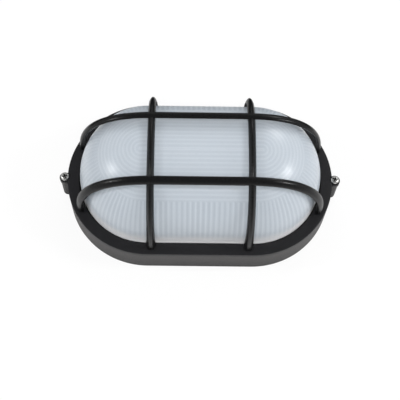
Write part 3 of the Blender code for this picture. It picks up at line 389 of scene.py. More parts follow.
@dataclass
class Wardrobe:
    """Builds each finish once and puts it on pieces."""

    materials: dict[str, Material] = field(default_factory=dict)

    def material(self, finish: Finish) -> Material:
        """Give the material of a finish, built when first asked for.

        Args:
            finish: The finish.

        Returns:
            Its material.
        """
        if finish.name not in self.materials:
            self.materials[finish.name] = finish.build()
        return self.materials[finish.name]

    def dress(self, piece: Piece, finish: Finish) -> None:
        """Give a new piece its finish.

        Args:
            piece: The piece.
            finish: Its finish.
        """
        piece.data.materials.clear()
        piece.data.materials.append(self.material(finish))

    def dress_nodes(self, finish: Finish, *names: str) -> None:
        """Give carried-over CAD nodes their finish.

        Args:
            finish: The finish.
            *names: Names of the nodes.
        """
        for name in names:
            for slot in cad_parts[name].material_slots:
                slot.material = self.material(finish)
            LOG.info("%s: CAD solid dressed in %s", name, finish.name)


def rounded(corners: list[Triple], closed: bool = True) -> list[Pair]:
    """Round the corners of an outline.

    Args:
        corners: Corners as (across, up, radius).
        closed: Whether the last corner joins the first.

    Returns:
        The outline's points.
    """
    points: list[Pair] = []
    count = len(corners)
    for i, (x, y, radius) in enumerate(corners):
        is_end = not closed and i in (0, count - 1)
        if radius <= 0 or is_end:
            points.append((x, y))
            continue
        here = Vector((x, y))
        before = Vector(corners[i - 1][:2]) - here
        after = Vector(corners[(i + 1) % count][:2]) - here
        half = before.angle(after) / 2
        back = radius / math.tan(half)
        before.normalize()
        after.normalize()
        centre = here + (before + after).normalized() * radius / math.sin(half)
        start = here + before * back - centre
        end = here + after * back - centre
        for j in range(CORNER_STEPS + 1):
            points.append(tuple(centre + start.lerp(end, j / CORNER_STEPS).normalized() * radius))
    return points


def run_lengths(line: list[Pair]) -> list[float]:
    """Measure along a line.

    Args:
        line: The line's points.

    Returns:
        The distance of each point from the first, along the line.
    """
    lengths = [0.0]
    for a, b in zip(line, line[1:]):
        lengths.append(lengths[-1] + math.dist(a, b))
    return lengths


def heading(line: list[Pair], i: int) -> Vector:
    """Give a line's unit direction at its point i."""
    return (Vector(line[min(i + 1, len(line) - 1)]) - Vector(line[max(i - 1, 0)])).normalized()


def squared_arc(flat: float, reach: float, rise: float, squareness: float, steps: int
                ) -> list[Pair]:
    """Draw half of an arch that is squarer than an ellipse.

    Args:
        flat: Half the length of its level top.
        reach: Distance of its foot from the middle.
        rise: Height of its top.
        squareness: Power of the curve, where 2 would be an ellipse.
        steps: Straight pieces in it.

    Returns:
        Points of (run, height), from the foot to the top.
    """
    power = 2 / squareness
    points = []
    for i in range(steps + 1):
        angle = math.pi / 2 * i / steps
        run = flat + (reach - flat) * max(math.cos(angle), 0.0) ** power
        points.append((run, rise * math.sin(angle) ** power))
    return points


def even_points(raw: list[Pair], steps: int) -> list[Pair]:
    """Space points evenly along a line.

    Args:
        raw: Points along the line, closer together than the result.
        steps: Number of spaces wanted.

    Returns:
        One point more than the steps.
    """
    lengths = run_lengths(raw)
    points = []
    j = 0
    for i in range(steps + 1):
        goal = lengths[-1] * i / steps
        while j < len(raw) - 2 and lengths[j + 1] < goal:
            j += 1
        share = (goal - lengths[j]) / max(lengths[j + 1] - lengths[j], WELD)
        a, b = raw[j], raw[j + 1]
        points.append((a[0] + (b[0] - a[0]) * share, a[1] + (b[1] - a[1]) * share))
    return points


def to_object(name: str, bm: Mesh) -> Piece:
    """Turn a bmesh into a smooth shaded object with its sharp edges kept.

    Args:
        name: The object's name.
        bm: The mesh. It is freed.

    Returns:
        The new object, linked to the scene.
    """
    mesh = bpy.data.meshes.new(name)
    bmesh.ops.recalc_face_normals(bm, faces=bm.faces)
    bm.to_mesh(mesh)
    bm.free()
    mesh.shade_smooth()
    mesh.set_sharp_from_angle(angle=SMOOTH_ANGLE)
    obj = bpy.data.objects.new(name, mesh)
    bpy.context.scene.collection.objects.link(obj)
    return obj


def skin(bm: Mesh, loops: list[Loop], along: bool = False) -> None:
    """Join a row of closed point loops with faces.

    Args:
        bm: The mesh.
        loops: Loops of equally many points.
        along: Whether the last loop joins the first.
    """
    pairs = list(zip(loops, loops[1:]))
    if along:
        pairs.append((loops[-1], loops[0]))
    for low, high in pairs:
        for i in range(len(low)):
            j = (i + 1) % len(low)
            distinct = list(dict.fromkeys([low[i], low[j], high[j], high[i]]))
            if len(distinct) > 2:
                bm.faces.new(distinct)


class Work(Enum):
    """What is done with a second solid."""

    JOIN = "UNION"
    CUT = "DIFFERENCE"


def combine(target: Piece, other: Piece, work: Work) -> None:
    """Join a solid to a target or cut it out of it, and close the seams.

    Args:
        target: The object that is kept.
        other: The object that is used up.
        work: Whether it is joined or cut out.
    """
    modifier = target.modifiers.new("join", "BOOLEAN")
    modifier.object = other
    modifier.operation = work.value
    modifier.solver = "EXACT"
    bpy.context.view_layer.update()
    graph = bpy.context.evaluated_depsgraph_get()
    mesh = bpy.data.meshes.new_from_object(target.evaluated_get(graph))
    target.modifiers.remove(modifier)
    bm = bmesh.new()
    bm.from_mesh(mesh)
    bmesh.ops.remove_doubles(bm, verts=bm.verts, dist=SEAM)
    bmesh.ops.dissolve_degenerate(bm, edges=bm.edges, dist=SEAM)
    bm.to_mesh(mesh)
    bm.free()
    target.data = mesh
    mesh.set_sharp_from_angle(angle=SMOOTH_ANGLE)
    bpy.data.objects.remove(other, do_unlink=True)


def lathe(name: str, outline: list[Pair], steps: int) -> Piece:
    """Turn an outline round the z axis.

    Args:
        name: The object's name.
        outline: Points of (radius, height), from the axis back to the axis.
        steps: Faces round the axis.

    Returns:
        The turned object.
    """
    bm = bmesh.new()
    loops = []
    turns = [2 * math.pi * i / steps for i in range(steps)]
    for radius, height in outline:
        if radius < WELD:
            loops.append([bm.verts.new((0, 0, height))] * steps)
            continue
        loops.append([bm.verts.new((radius * math.cos(turn), radius * math.sin(turn), height))
                      for turn in turns])
    skin(bm, loops)
    return to_object(name, bm)


def peg(radius: float, place: Pair, low: float, high: float, steps: int = 40,
        edge: float = 0.0) -> Piece:
    """Make an upright cylinder to join or cut with.

    Args:
        radius: Its radius.
        place: Its axis, as (x, y).
        low: Height of its lower end.
        high: Height of its upper end.
        steps: Faces round the axis.
        edge: Rounding of its two ends.

    Returns:
        The cylinder.
    """
    obj = lathe("peg", rounded([
        (0.0, high, 0.0), (radius, high, edge), (radius, low, edge), (0.0, low, 0.0)],
        closed=False), steps)
    obj.data.transform(Matrix.Translation((*place, 0)))
    return obj


def block(size: Triple, centre: Triple) -> Piece:
    """Make a box to join or cut with.

    Args:
        size: Its three edge lengths.
        centre: Its centre.

    Returns:
        The box.
    """
    bm = bmesh.new()
    bmesh.ops.create_cube(bm, size=1.0)
    bmesh.ops.scale(bm, vec=size, verts=bm.verts)
    bmesh.ops.translate(bm, vec=centre, verts=bm.verts)
    return to_object("block", bm)


@dataclass
class BodyOval:
    """The long oval that the body, the guard and the glass share: two half rounds and two sides."""

    length: float = 265 * MM
    width: float = 162 * MM
    depth: float = 36 * MM
    skirt_wall: float = 3.0 * MM
    face_edge: float = 5.0 * MM
    ear_reach: float = 2.8 * MM
    seat_gap: float = 0.3 * MM
    arc_steps: int = 60
    side_steps: int = 16

    @property
    def spine(self) -> float:
        """Half the distance between the centres of the two half rounds."""
        return (self.length - self.width) / 2

    @property
    def rim(self) -> float:
        """Distance from the spine to the body's rim."""
        return self.width / 2

    @property
    def ear_x(self) -> float:
        """Distance of each cover screw from the middle."""
        return self.length / 2 + self.ear_reach

    def stations(self, arc_steps: int | None = None, side_steps: int | None = None) -> list[Triple]:
        """List places round the oval.

        Args:
            arc_steps: Steps in each half round.
            side_steps: Steps along each straight side.

        Returns:
            For each place, the x of its centre and the cosine and sine of its direction.
        """
        arc_steps = arc_steps or self.arc_steps
        side_steps = side_steps or self.side_steps
        places = []
        for side in (1, -1):
            first = -math.pi / 2 * side
            for i in range(arc_steps):
                angle = first + math.pi * i / arc_steps
                places.append((side * self.spine, math.cos(angle), math.sin(angle)))
            for i in range(side_steps):
                places.append((side * self.spine * (1 - 2 * i / side_steps), 0.0, float(side)))
        return places

    def sweep(self, bm: Mesh, outline: list[Pair],
              stations: list[Triple] | None = None) -> list[Loop]:
        """Carry an outline of (offset, height) round the oval.

        Args:
            bm: The mesh to add points to.
            outline: The outline's points.
            stations: Places round the oval.

        Returns:
            One loop of points for each point of the outline.
        """
        stations = stations or self.stations()
        return [[bm.verts.new((x + offset * c, offset * s, height)) for x, c, s in stations]
                for offset, height in outline]

    def solid(self, name: str, outline: list[Pair], closed: bool = True) -> Piece:
        """Make a solid whose section is the same all round the oval.

        Args:
            name: The object's name.
            outline: Its section, closed or from spine to spine.
            closed: Whether the section is closed.

        Returns:
            The solid.
        """
        bm = bmesh.new()
        skin(bm, self.sweep(bm, outline), along=closed)
        if not closed:
            bmesh.ops.remove_doubles(bm, verts=bm.verts, dist=WELD)
        return to_object(name, bm)


OVAL = BodyOval()


class Ridge(Enum):
    """Shape of a cage bar's outer side."""

    POINTED = "pointed"
    ROUND = "round"


@dataclass
class CageBar:
    """One cast bar of the cage, as a section carried along a squared arch."""

    width: float
    crest: float
    shoulder: float
    ridge: Ridge
    foot: float
    flat: float
    rise: float
    lean: float = 0.0
    belly: float = 1.9 * MM
    belly_width: float = 4.0 * MM
    belly_edge: float = 0.5 * MM
    belly_slant: float = 0.3
    squareness: float = 2.45
    sharpness: float = 2.0
    foot_bluntness: float = 2.0
    bluntness_power: int = 4
    flare: float = 0.24
    flare_power: float = 1.5
    foot_fillet: float = 0.16
    foot_fillet_height: float = 1.6 * MM
    foot_spread: float = 0.0
    foot_spread_power: int = 6
    sink: float = 1.2 * MM
    path_steps: int = 104
    fine_steps: int = 600
    ridge_steps: int = 18

    def section(self, footing: float) -> list[Pair]:
        """Draw the closed outline of the bar.

        Args:
            footing: How near the foot it is, from 0 at the crown to 1, where a pointed bar is blunt.

        Returns:
            Points of (across, outwards).
        """
        half = self.width / 2
        power = self.sharpness + self.foot_bluntness * footing ** self.bluntness_power
        points: list[Pair] = []
        for i in range(self.ridge_steps + 1):
            share = 1 - 2 * i / self.ridge_steps
            if self.ridge is Ridge.POINTED:
                drop = (self.crest + self.shoulder) * abs(share) ** power
                points.append((half * share, self.crest - drop))
            else:
                angle = math.pi * i / self.ridge_steps
                points.append((half * math.cos(angle), self.crest * math.sin(angle)))
        under = self.belly_width / 2
        wide = under + self.belly_slant * self.belly_edge
        narrow = under - self.belly_edge
        side = -self.belly + self.belly_edge
        return points + [(-wide, side), (-narrow, -self.belly), (narrow, -self.belly), (wide, side)]

    def path(self) -> list[Pair]:
        """Follow the arch from foot to foot.

        Returns:
            Even points of (run, height).
        """
        half = [(self.foot, -self.sink)] + squared_arc(
            self.flat, self.foot, self.rise, self.squareness, self.fine_steps)
        return even_points(half + [(-run, height) for run, height in reversed(half)],
                           self.path_steps)

    def build(self, base: float, across: Vector, along: Vector, origin: Vector) -> Piece:
        """Make the bar.

        Args:
            base: Height of the face that its feet stand on.
            across: Unit direction from one foot to the other.
            along: Unit direction across the bar.
            origin: A point in the bar's plane, at height 0.

        Returns:
            The bar as a closed solid.
        """
        path = self.path()
        bm = bmesh.new()
        loops = []
        for i, (run, height) in enumerate(path):
            tangent = heading(path, i)
            outward = across * tangent.y - UP * tangent.x
            if outward.dot(across * run + UP * height) < 0:
                outward = -outward
            crest = outward * math.cos(self.lean) + along * math.sin(self.lean)
            side = along * math.cos(self.lean) - outward * math.sin(self.lean)
            share = min(max(1 - height / self.rise, 0.0), 1.0)
            scale = 1 + self.flare * share ** self.flare_power
            scale += self.foot_fillet * math.exp(-max(height, 0.0) / self.foot_fillet_height)
            broad = scale * (1 + self.foot_spread * share ** self.foot_spread_power)
            centre = origin + across * run + UP * (base + height)
            loops.append([bm.verts.new(centre + side * (u * broad) + crest * (v * scale))
                          for u, v in self.section(share)])
        skin(bm, loops)
        bm.faces.new(list(reversed(loops[0])))
        bm.faces.new(loops[-1])
        return to_object("bar", bm)


@dataclass
class GuardCage:
    """The cast guard: bezel ring, four cage bars and two screw ears in one piece."""

    face_width: float = 11.7 * MM
    face_thickness: float = 3.7 * MM
    edge_rounding: float = 0.8 * MM
    parting_rounding: float = 0.25 * MM
    opening_draft: float = 0.6 * MM
    opening_rounding: float = 0.6 * MM
    small_rounding: float = 0.3 * MM
    spigot_wall: float = 2.2 * MM
    spigot_depth: float = 4.3 * MM
    short_bar_inset: float = 4.0 * MM
    long_bar_inset: float = 47.7 * MM
    ear_radius: float = 5.4 * MM
    ear_rounding: float = 0.5 * MM
    ear_steps: int = 48
    ear_height: float = 6.5 * MM
    ear_drop: float = 2.0 * MM
    ear_lap: float = 0.2 * MM
    spot_face_radius: float = 5.0 * MM
    screw_hole: float = 2.3 * MM
    short_bar: CageBar = field(default_factory=lambda: CageBar(
        width=6.9 * MM, crest=2.9 * MM, shoulder=1.3 * MM, ridge=Ridge.POINTED,
        foot=73.2 * MM, flat=0.0, rise=74.2 * MM, foot_spread=0.1))
    long_bar: CageBar = field(default_factory=lambda: CageBar(
        width=8.3 * MM, crest=3.1 * MM, shoulder=0.0, ridge=Ridge.ROUND,
        foot=117.25 * MM, flat=40.0 * MM, rise=71.0 * MM, lean=math.radians(27), path_steps=150))

    @property
    def ear_top(self) -> float:
        """Height of the ears' upper faces."""
        return OVAL.depth - self.ear_drop

    def ring(self) -> Piece:
        """Cast the bezel ring with its spigot.

        Returns:
            The ring as a closed solid.
        """
        top = OVAL.depth
        under = top - self.face_thickness
        parting = top - OVAL.face_edge
        opening = OVAL.rim - self.face_width
        outside = OVAL.rim - OVAL.skirt_wall - OVAL.seat_gap
        inside = outside - self.spigot_wall
        low = under - self.spigot_depth
        return OVAL.solid("guard_frame_cast", rounded([
            (opening, under, self.small_rounding),
            (opening + self.opening_draft, top, self.opening_rounding),
            (OVAL.rim, top, self.edge_rounding),
            (OVAL.rim, parting, self.parting_rounding),
            (outside, parting, 0.0),
            (outside, low, self.small_rounding),
            (inside, low, self.small_rounding),
            (inside, under, 0.0),
        ]))

    def ear(self, x: float) -> Piece:
        """Make one screw ear, cut off at the body's rim.

        Args:
            x: Place of its screw along the body.

        Returns:
            The ear as a closed solid.
        """
        ear = peg(self.ear_radius, (x, 0.0), self.ear_top - self.ear_height, self.ear_top,
                  self.ear_steps, self.ear_rounding)
        clear = OVAL.rim + OVAL.seat_gap
        root = OVAL.depth - OVAL.face_edge + self.ear_lap
        body = OVAL.solid("body_line", [(0, root), (clear, root), (clear, 0), (0, 0)], closed=False)
        combine(ear, body, Work.CUT)
        return ear

    def build(self, wardrobe: Wardrobe) -> None:
        """Cast the guard in one piece and dress it.

        Args:
            wardrobe: The finishes.
        """
        guard = self.ring()
        above = 2 * OVAL.depth
        for x in (-OVAL.ear_x, OVAL.ear_x):
            combine(guard, peg(self.spot_face_radius, (x, 0.0), self.ear_top + self.ear_lap, above),
                    Work.CUT)
            combine(guard, self.ear(x), Work.JOIN)
        along, across = Vector((1, 0, 0)), Vector((0, 1, 0))
        for side in (-1, 1):
            place = along * side * (OVAL.spine - self.short_bar_inset)
            combine(guard, self.short_bar.build(OVAL.depth, across, along, place), Work.JOIN)
            place = across * side * (OVAL.rim - self.long_bar_inset)
            combine(guard, self.long_bar.build(OVAL.depth, along, across * side, place), Work.JOIN)
        for x in (-OVAL.ear_x, OVAL.ear_x):
            combine(guard, peg(self.screw_hole, (x, 0.0), 0.0, above), Work.CUT)
        wardrobe.dress(guard, POWDER_COAT)
        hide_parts("guard_frame")
        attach(guard, "root")
        LOG.info("guard: ring, four bars and two ears, %d faces", len(guard.data.polygons))


@dataclass
class CastHousing:
    """The cast back: skirt, shelf for the glass, tub, lugs, bosses and pads."""

    shelf_z: float = 24.9 * MM
    shelf_thickness: float = 3.0 * MM
    tub_inset: float = 15.0 * MM
    tub_wall: float = 3.0 * MM
    tub_draft: float = 1.5 * MM
    floor_lift: float = 2.0 * MM
    floor_thickness: float = 3.0 * MM
    lug_radius: float = 4.6 * MM
    lug_root: float = 1.5 * MM
    lug_top: float = 27.2 * MM
    floor_rounding: float = 1.5 * MM
    shelf_rounding: float = 1.0 * MM
    mouth_rounding: float = 0.5 * MM
    rim_rounding: float = 0.3 * MM
    parting_rounding: float = 0.25 * MM
    screw_hole: float = 2.3 * MM
    screw_depth: float = 22.3 * MM
    screw_top: float = 34.3 * MM
    pad_radius: float = 8.0 * MM
    pad_height: float = 1.5 * MM
    pad_hole: float = 2.7 * MM
    pad_reach: float = 10.5 * MM
    pad_inset: float = 24.0 * MM
    boss_radius: float = 4.5 * MM
    boss_height: float = 3.0 * MM
    boss_hole: float = 1.8 * MM
    boss_floor: float = 1.0 * MM
    boss_root: float = 1.5 * MM
    boss_steps: int = 24
    boss_hole_steps: int = 20
    entry_radius: float = 10.0 * MM
    entry_gap: float = 26.0 * MM
    seat_length: float = 14.0 * MM
    seat_width: float = 26.0 * MM
    block_reach: float = 4.0 * MM
    block_screw_y: float = -17.9 * MM
    bracket_hole: Pair = (86.0 * MM, 6.0 * MM)
    earth_inset: Pair = (11.5 * MM, 32.0 * MM)

    @property
    def tub_radius(self) -> float:
        """Distance from the spine to the inside of the tub."""
        return OVAL.rim - self.tub_inset

    @property
    def floor_z(self) -> float:
        """Height of the tub's inner floor."""
        return self.floor_lift + self.floor_thickness

    def bosses(self) -> list[Pair]:
        """Place the small screw bosses.

        Returns:
            Their centres: two for the bracket, one for the block and one for the earth screw.
        """
        x, y = self.bracket_hole
        earth = (-(OVAL.spine - self.earth_inset[0]), self.tub_radius - self.earth_inset[1])
        return [(x, -y), (x, y), (-(OVAL.spine + self.block_reach), self.block_screw_y), earth]

    def shell(self) -> Piece:
        """Cast the skirt, shelf and tub, with their fillets.

        Returns:
            The shell as a closed solid.
        """
        foot = self.tub_radius - self.tub_draft
        inside = OVAL.rim - OVAL.skirt_wall
        parting = OVAL.depth - OVAL.face_edge - OVAL.seat_gap
        under = self.shelf_z - self.shelf_thickness
        return OVAL.solid("back_housing_cast", rounded([
            (0.0, self.floor_lift, 0.0),
            (foot + self.tub_wall, self.floor_lift, self.floor_rounding),
            (self.tub_radius + self.tub_wall, under, self.shelf_rounding),
            (inside, under, self.shelf_rounding),
            (inside, 0.0, self.rim_rounding),
            (OVAL.rim, 0.0, self.rim_rounding),
            (OVAL.rim, parting, self.parting_rounding),
            (inside, parting, 0.0),
            (inside, self.shelf_z, 0.0),
            (self.tub_radius, self.shelf_z, self.mouth_rounding),
            (foot, self.floor_z, self.floor_rounding),
            (0.0, self.floor_z, 0.0),
        ], closed=False), closed=False)

    def add_side(self, housing: Piece, side: int) -> None:
        """Add one end's screw lug and fixing pad, with their holes.

        Args:
            housing: The housing.
            side: Which end, -1 or 1.
        """
        lug_x = side * OVAL.ear_x
        lug = peg(self.lug_radius, (lug_x, 0.0), 0.0, self.lug_top, edge=self.rim_rounding)
        reach = OVAL.ear_reach + self.lug_root
        web = block((reach, 2 * self.lug_radius, self.lug_top),
                    (side * (OVAL.ear_x - reach / 2), 0, self.lug_top / 2))
        pad = (side * (OVAL.spine + self.pad_reach), side * (self.tub_radius - self.pad_inset))
        screw_end = self.screw_top - self.screw_depth
        for other, work in (
                (lug, Work.JOIN), (web, Work.JOIN),
                (peg(self.pad_radius, pad, 0.0, self.floor_z + self.pad_height), Work.JOIN),
                (peg(self.pad_hole, pad, -OVAL.depth, OVAL.depth), Work.CUT),
                (peg(self.screw_hole, (lug_x, 0), screw_end, OVAL.depth), Work.CUT)):
            combine(housing, other, work)

    def build(self, wardrobe: Wardrobe) -> None:
        """Cast the housing and dress it.

        Args:
            wardrobe: The finishes.
        """
        housing = self.shell()
        for side in (-1, 1):
            self.add_side(housing, side)
        boss_low, boss_top = self.floor_z - self.boss_root, self.floor_z + self.boss_height
        for place in self.bosses():
            combine(housing, peg(self.boss_radius, place, boss_low, boss_top, self.boss_steps),
                    Work.JOIN)
        seat_x = -(OVAL.spine + self.block_reach)
        combine(housing, block((self.seat_length, self.seat_width, 2 * self.boss_height),
                               (seat_x, 0, boss_top - self.boss_height)), Work.JOIN)
        hole_low = self.floor_lift + self.boss_floor
        for place in self.bosses():
            combine(housing, peg(self.boss_hole, place, hole_low, OVAL.depth, self.boss_hole_steps),
                    Work.CUT)
        entry = (-(OVAL.spine + self.tub_radius - self.entry_gap), 0)
        combine(housing, peg(self.entry_radius, entry, -OVAL.depth, OVAL.depth), Work.CUT)
        wardrobe.dress(housing, POWDER_COAT)
        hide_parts("back_housing")
        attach(housing, "root")
        LOG.info("housing: shell, lugs, pads and bosses, %d faces", len(housing.data.polygons))


@dataclass
class RibbedGlass:
    """The pressed glass dome: rings on its crown, flutes on its side, and a flange."""

    radius: float = 67.8 * MM
    wall: float = 3.8 * MM
    rise: float = 69.0 * MM
    squareness: float = 2.45
    flange_radius: float = 73.3 * MM
    flange_z: float = 27.0 * MM
    flange_thickness: float = 3.5 * MM
    flange_edge: float = 0.5 * MM
    plain_share: float = 0.5
    ring_centre: float = 6.4 * MM
    ring_draw_in: float = 0.13
    ring_pitch: float = 4.35 * MM
    ring_start: float = 0.85 * MM
    ring_band: float = 50.6 * MM
    ring_share: float = 0.5
    ring_crispness: float = 2.4
    ring_mean: float = 0.34
    ring_relief: float = 0.07 * MM
    rib_height: float = 0.6 * MM
    flute_pitch: float = 5.0 * MM
    flute_relief: float = 0.05 * MM
    flute_depth: float = 0.6 * MM
    flute_foot: float = 4.0 * MM
    flute_end_share: float = 0.4
    # Painted shade on the fluted side wall: its mean share is set below plain_share.
    flute_shaded_level: float = 0.38
    flute_crispness: float = 1.6
    flute_mean: float = 0.42
    fade: float = 1.2 * MM
    foot_flare: float = 1.1 * MM
    foot_flare_height: float = 1.6 * MM
    dome_steps: int = 114
    fine_steps: int = 800
    arc_steps: int = 132
    side_steps: int = 64

    def dome(self, radius: float, rise: float) -> list[Pair]:
        """Follow one face of the dome down from its crown.

        Args:
            radius: The face's radius.
            rise: The face's rise.

        Returns:
            Even points of (offset, height).
        """
        arc = squared_arc(0.0, radius, rise, self.squareness, self.fine_steps)
        return even_points(list(reversed(arc)), self.dome_steps)

    def pattern(self, slope: float, height: float, run: float, turned: float) -> float:
        """Tell how far a point lies on a rib: 1 on its top, 0 in a groove.

        Args:
            slope: Radius of the ring through the point, measured down the dome's face.
            height: Height above the body's face.
            run: Distance round the oval at the glass's own radius.
            turned: How far the point faces a long side, from 0 at an end to 1.

        Returns:
            The share, plain_share where the wall has no ribs.
        """
        turn = 2 * math.pi
        ring = 0.5 + 0.5 * math.cos(turn * (slope - self.ring_start) / self.ring_pitch)
        rings = self.plain_share + self.ring_share * (ring ** self.ring_crispness - self.ring_mean)
        swing = self.flute_end_share + (1 - self.flute_end_share) * turned
        flute = 0.5 + 0.5 * math.cos(turn * run / self.flute_pitch)
        # Painted shade: the fluted side wall sits darker on average than the crown, as less light
        # falls on it.
        flutes = self.flute_shaded_level + swing * (flute ** self.flute_crispness - self.flute_mean)
        to_flutes = min(max((slope - self.ring_band) / self.fade, 0.0), 1.0)
        to_plain = min(max((self.flute_foot - height) / self.fade, 0.0), 1.0)
        share = rings * (1 - to_flutes) + flutes * to_flutes
        return share * (1 - to_plain) + self.plain_share * to_plain

    def face(self, bm: Mesh, layer: bmesh.types.BMLayerItem, radius: float,
             rise: float, relief: Pair, inward: bool) -> list[Loop]:
        """Press one face of the dome with its relief.

        Args:
            bm: The mesh.
            layer: Layer that holds the wall's share at each point.
            radius: The face's radius.
            rise: The face's rise.
            relief: Depth of the rings and of the flutes.
            inward: Whether ribs stand inwards.

        Returns:
            Loops of points, from the crown down.
        """
        stations = OVAL.stations(self.arc_steps, self.side_steps)
        runs = self.runs(stations)
        dome = self.dome(radius, rise)
        slopes = [length * self.radius / radius for length in run_lengths(dome)]
        loops = []
        for i, (offset, height) in enumerate(dome):
            down = heading(dome, i)
            normal = Vector((-down.y, down.x))
            loop = []
            for (x, c, s), run in zip(stations, runs):
                slope = self.ring_radius(slopes[i], c, s)
                share = self.pattern(slope, height, run, abs(s))
                depth = relief[0] if slope < self.ring_band else relief[1]
                lift = (share - self.plain_share) * depth * (-1 if inward else 1)
                reach = max(offset + normal.x * lift, 0.0) if offset > WELD else 0.0
                if not inward:
                    reach += self.foot_flare * s * s * math.exp(-height / self.foot_flare_height)
                z = OVAL.depth + height + normal.y * lift
                vert = bm.verts.new((x + reach * c, reach * s, z))
                vert[layer] = share
                loop.append(vert)
            loops.append(loop)
        return loops

    def ring_radius(self, slope: float, c: float, s: float) -> float:
        """Find the radius of the ring through a point of the dome's face.

        The smallest ring is centred past the end of the body's spine, and the centres draw in
        as the rings grow, so that the rings stand closer together towards the ends.

        Args:
            slope: Distance from the body's spine, measured down the face.
            c: Share of the way out that runs along the body.
            s: Share of the way out that runs across it.

        Returns:
            The ring's radius, measured down the face.
        """
        across = slope * abs(s)
        past = slope * abs(c) - self.ring_centre
        if past <= -self.ring_draw_in * across:
            return across
        pull = past * self.ring_draw_in
        rest = 1 - self.ring_draw_in ** 2
        return (pull + math.sqrt(pull ** 2 + rest * (past ** 2 + across ** 2))) / rest

    def runs(self, stations: list[Triple]) -> list[float]:
        """Measure round the oval from the middle of its front, fitted to a whole count of flutes.

        Args:
            stations: Places round the oval.

        Returns:
            One distance for each station.
        """
        points = [(x + self.radius * c, self.radius * s) for x, c, s in stations]
        lengths = run_lengths(points + points[:1])
        flutes = 2 * round(lengths[-1] / self.flute_pitch / 2)
        fit = flutes * self.flute_pitch / lengths[-1]
        return [(run + OVAL.spine) * fit for run in lengths[:-1]]

    def build(self, wardrobe: Wardrobe) -> None:
        """Press the glass and dress it.

        Args:
            wardrobe: The finishes.
        """
        bm = bmesh.new()
        layer = bm.verts.layers.float.new("wall_share")
        inside = self.radius - self.wall
        outer = self.face(bm, layer, self.radius, self.rise, (self.ring_relief, self.flute_relief),
                          False)
        inner = self.face(bm, layer, inside, self.rise - self.wall,
                          (self.rib_height, self.flute_depth), True)
        low, high = self.flange_z, self.flange_z + self.flange_thickness
        edge = self.flange_edge
        flange = [(self.radius, high + edge), (self.radius + edge, high),
                  (self.flange_radius - edge, high), (self.flange_radius, high - edge),
                  (self.flange_radius, low + edge), (self.flange_radius - edge, low),
                  (inside + edge, low), (inside, low + edge)]
        middle = OVAL.sweep(bm, flange, OVAL.stations(self.arc_steps, self.side_steps))
        for vert in sum(middle, []):
            vert[layer] = self.plain_share
        skin(bm, outer + middle + list(reversed(inner)))
        bmesh.ops.remove_doubles(bm, verts=bm.verts, dist=WELD)
        glass = to_object("glass_diffuser_pressed", bm)
        wardrobe.dress(glass, SATIN_GLASS)
        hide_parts("glass_diffuser")
        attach(glass, "root")
        LOG.info("glass: rings, flutes and flange, %d faces", len(glass.data.polygons))


@dataclass
class Gaskets:
    """The rubber rings above and below the flange of the glass, and the cable grommet."""

    outer: float = 72.5 * MM
    lower_inner: float = 66.8 * MM
    lower_z: float = 25.2 * MM
    lower_thickness: float = 1.5 * MM
    upper_inner: float = 68.1 * MM
    upper_z: float = 30.8 * MM
    upper_thickness: float = 1.2 * MM
    edge: float = 0.3 * MM

    def ring(self, node: str, inner: float, low: float, thickness: float,
             wardrobe: Wardrobe) -> None:
        """Mould one ring and dress it.

        Args:
            node: The CAD node that it stands for.
            inner: Distance from the spine to its inner side.
            low: Height of its lower face.
            thickness: Its thickness.
            wardrobe: The finishes.
        """
        high = low + thickness
        piece = OVAL.solid(node + "_ring", rounded([
            (inner, low, self.edge), (inner, high, self.edge),
            (self.outer, high, self.edge), (self.outer, low, self.edge)]))
        wardrobe.dress(piece, RUBBER)
        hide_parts(node)
        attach(piece, "root")
        LOG.info("%s: %d faces", piece.name, len(piece.data.polygons))

    def build(self, wardrobe: Wardrobe) -> None:
        """Mould both rings and dress the grommet.

        Args:
            wardrobe: The finishes.
        """
        self.ring("lower_gasket", self.lower_inner, self.lower_z, self.lower_thickness, wardrobe)
        self.ring("upper_gasket", self.upper_inner, self.upper_z, self.upper_thickness, wardrobe)
        wardrobe.dress_nodes(RUBBER, "cable_grommet")


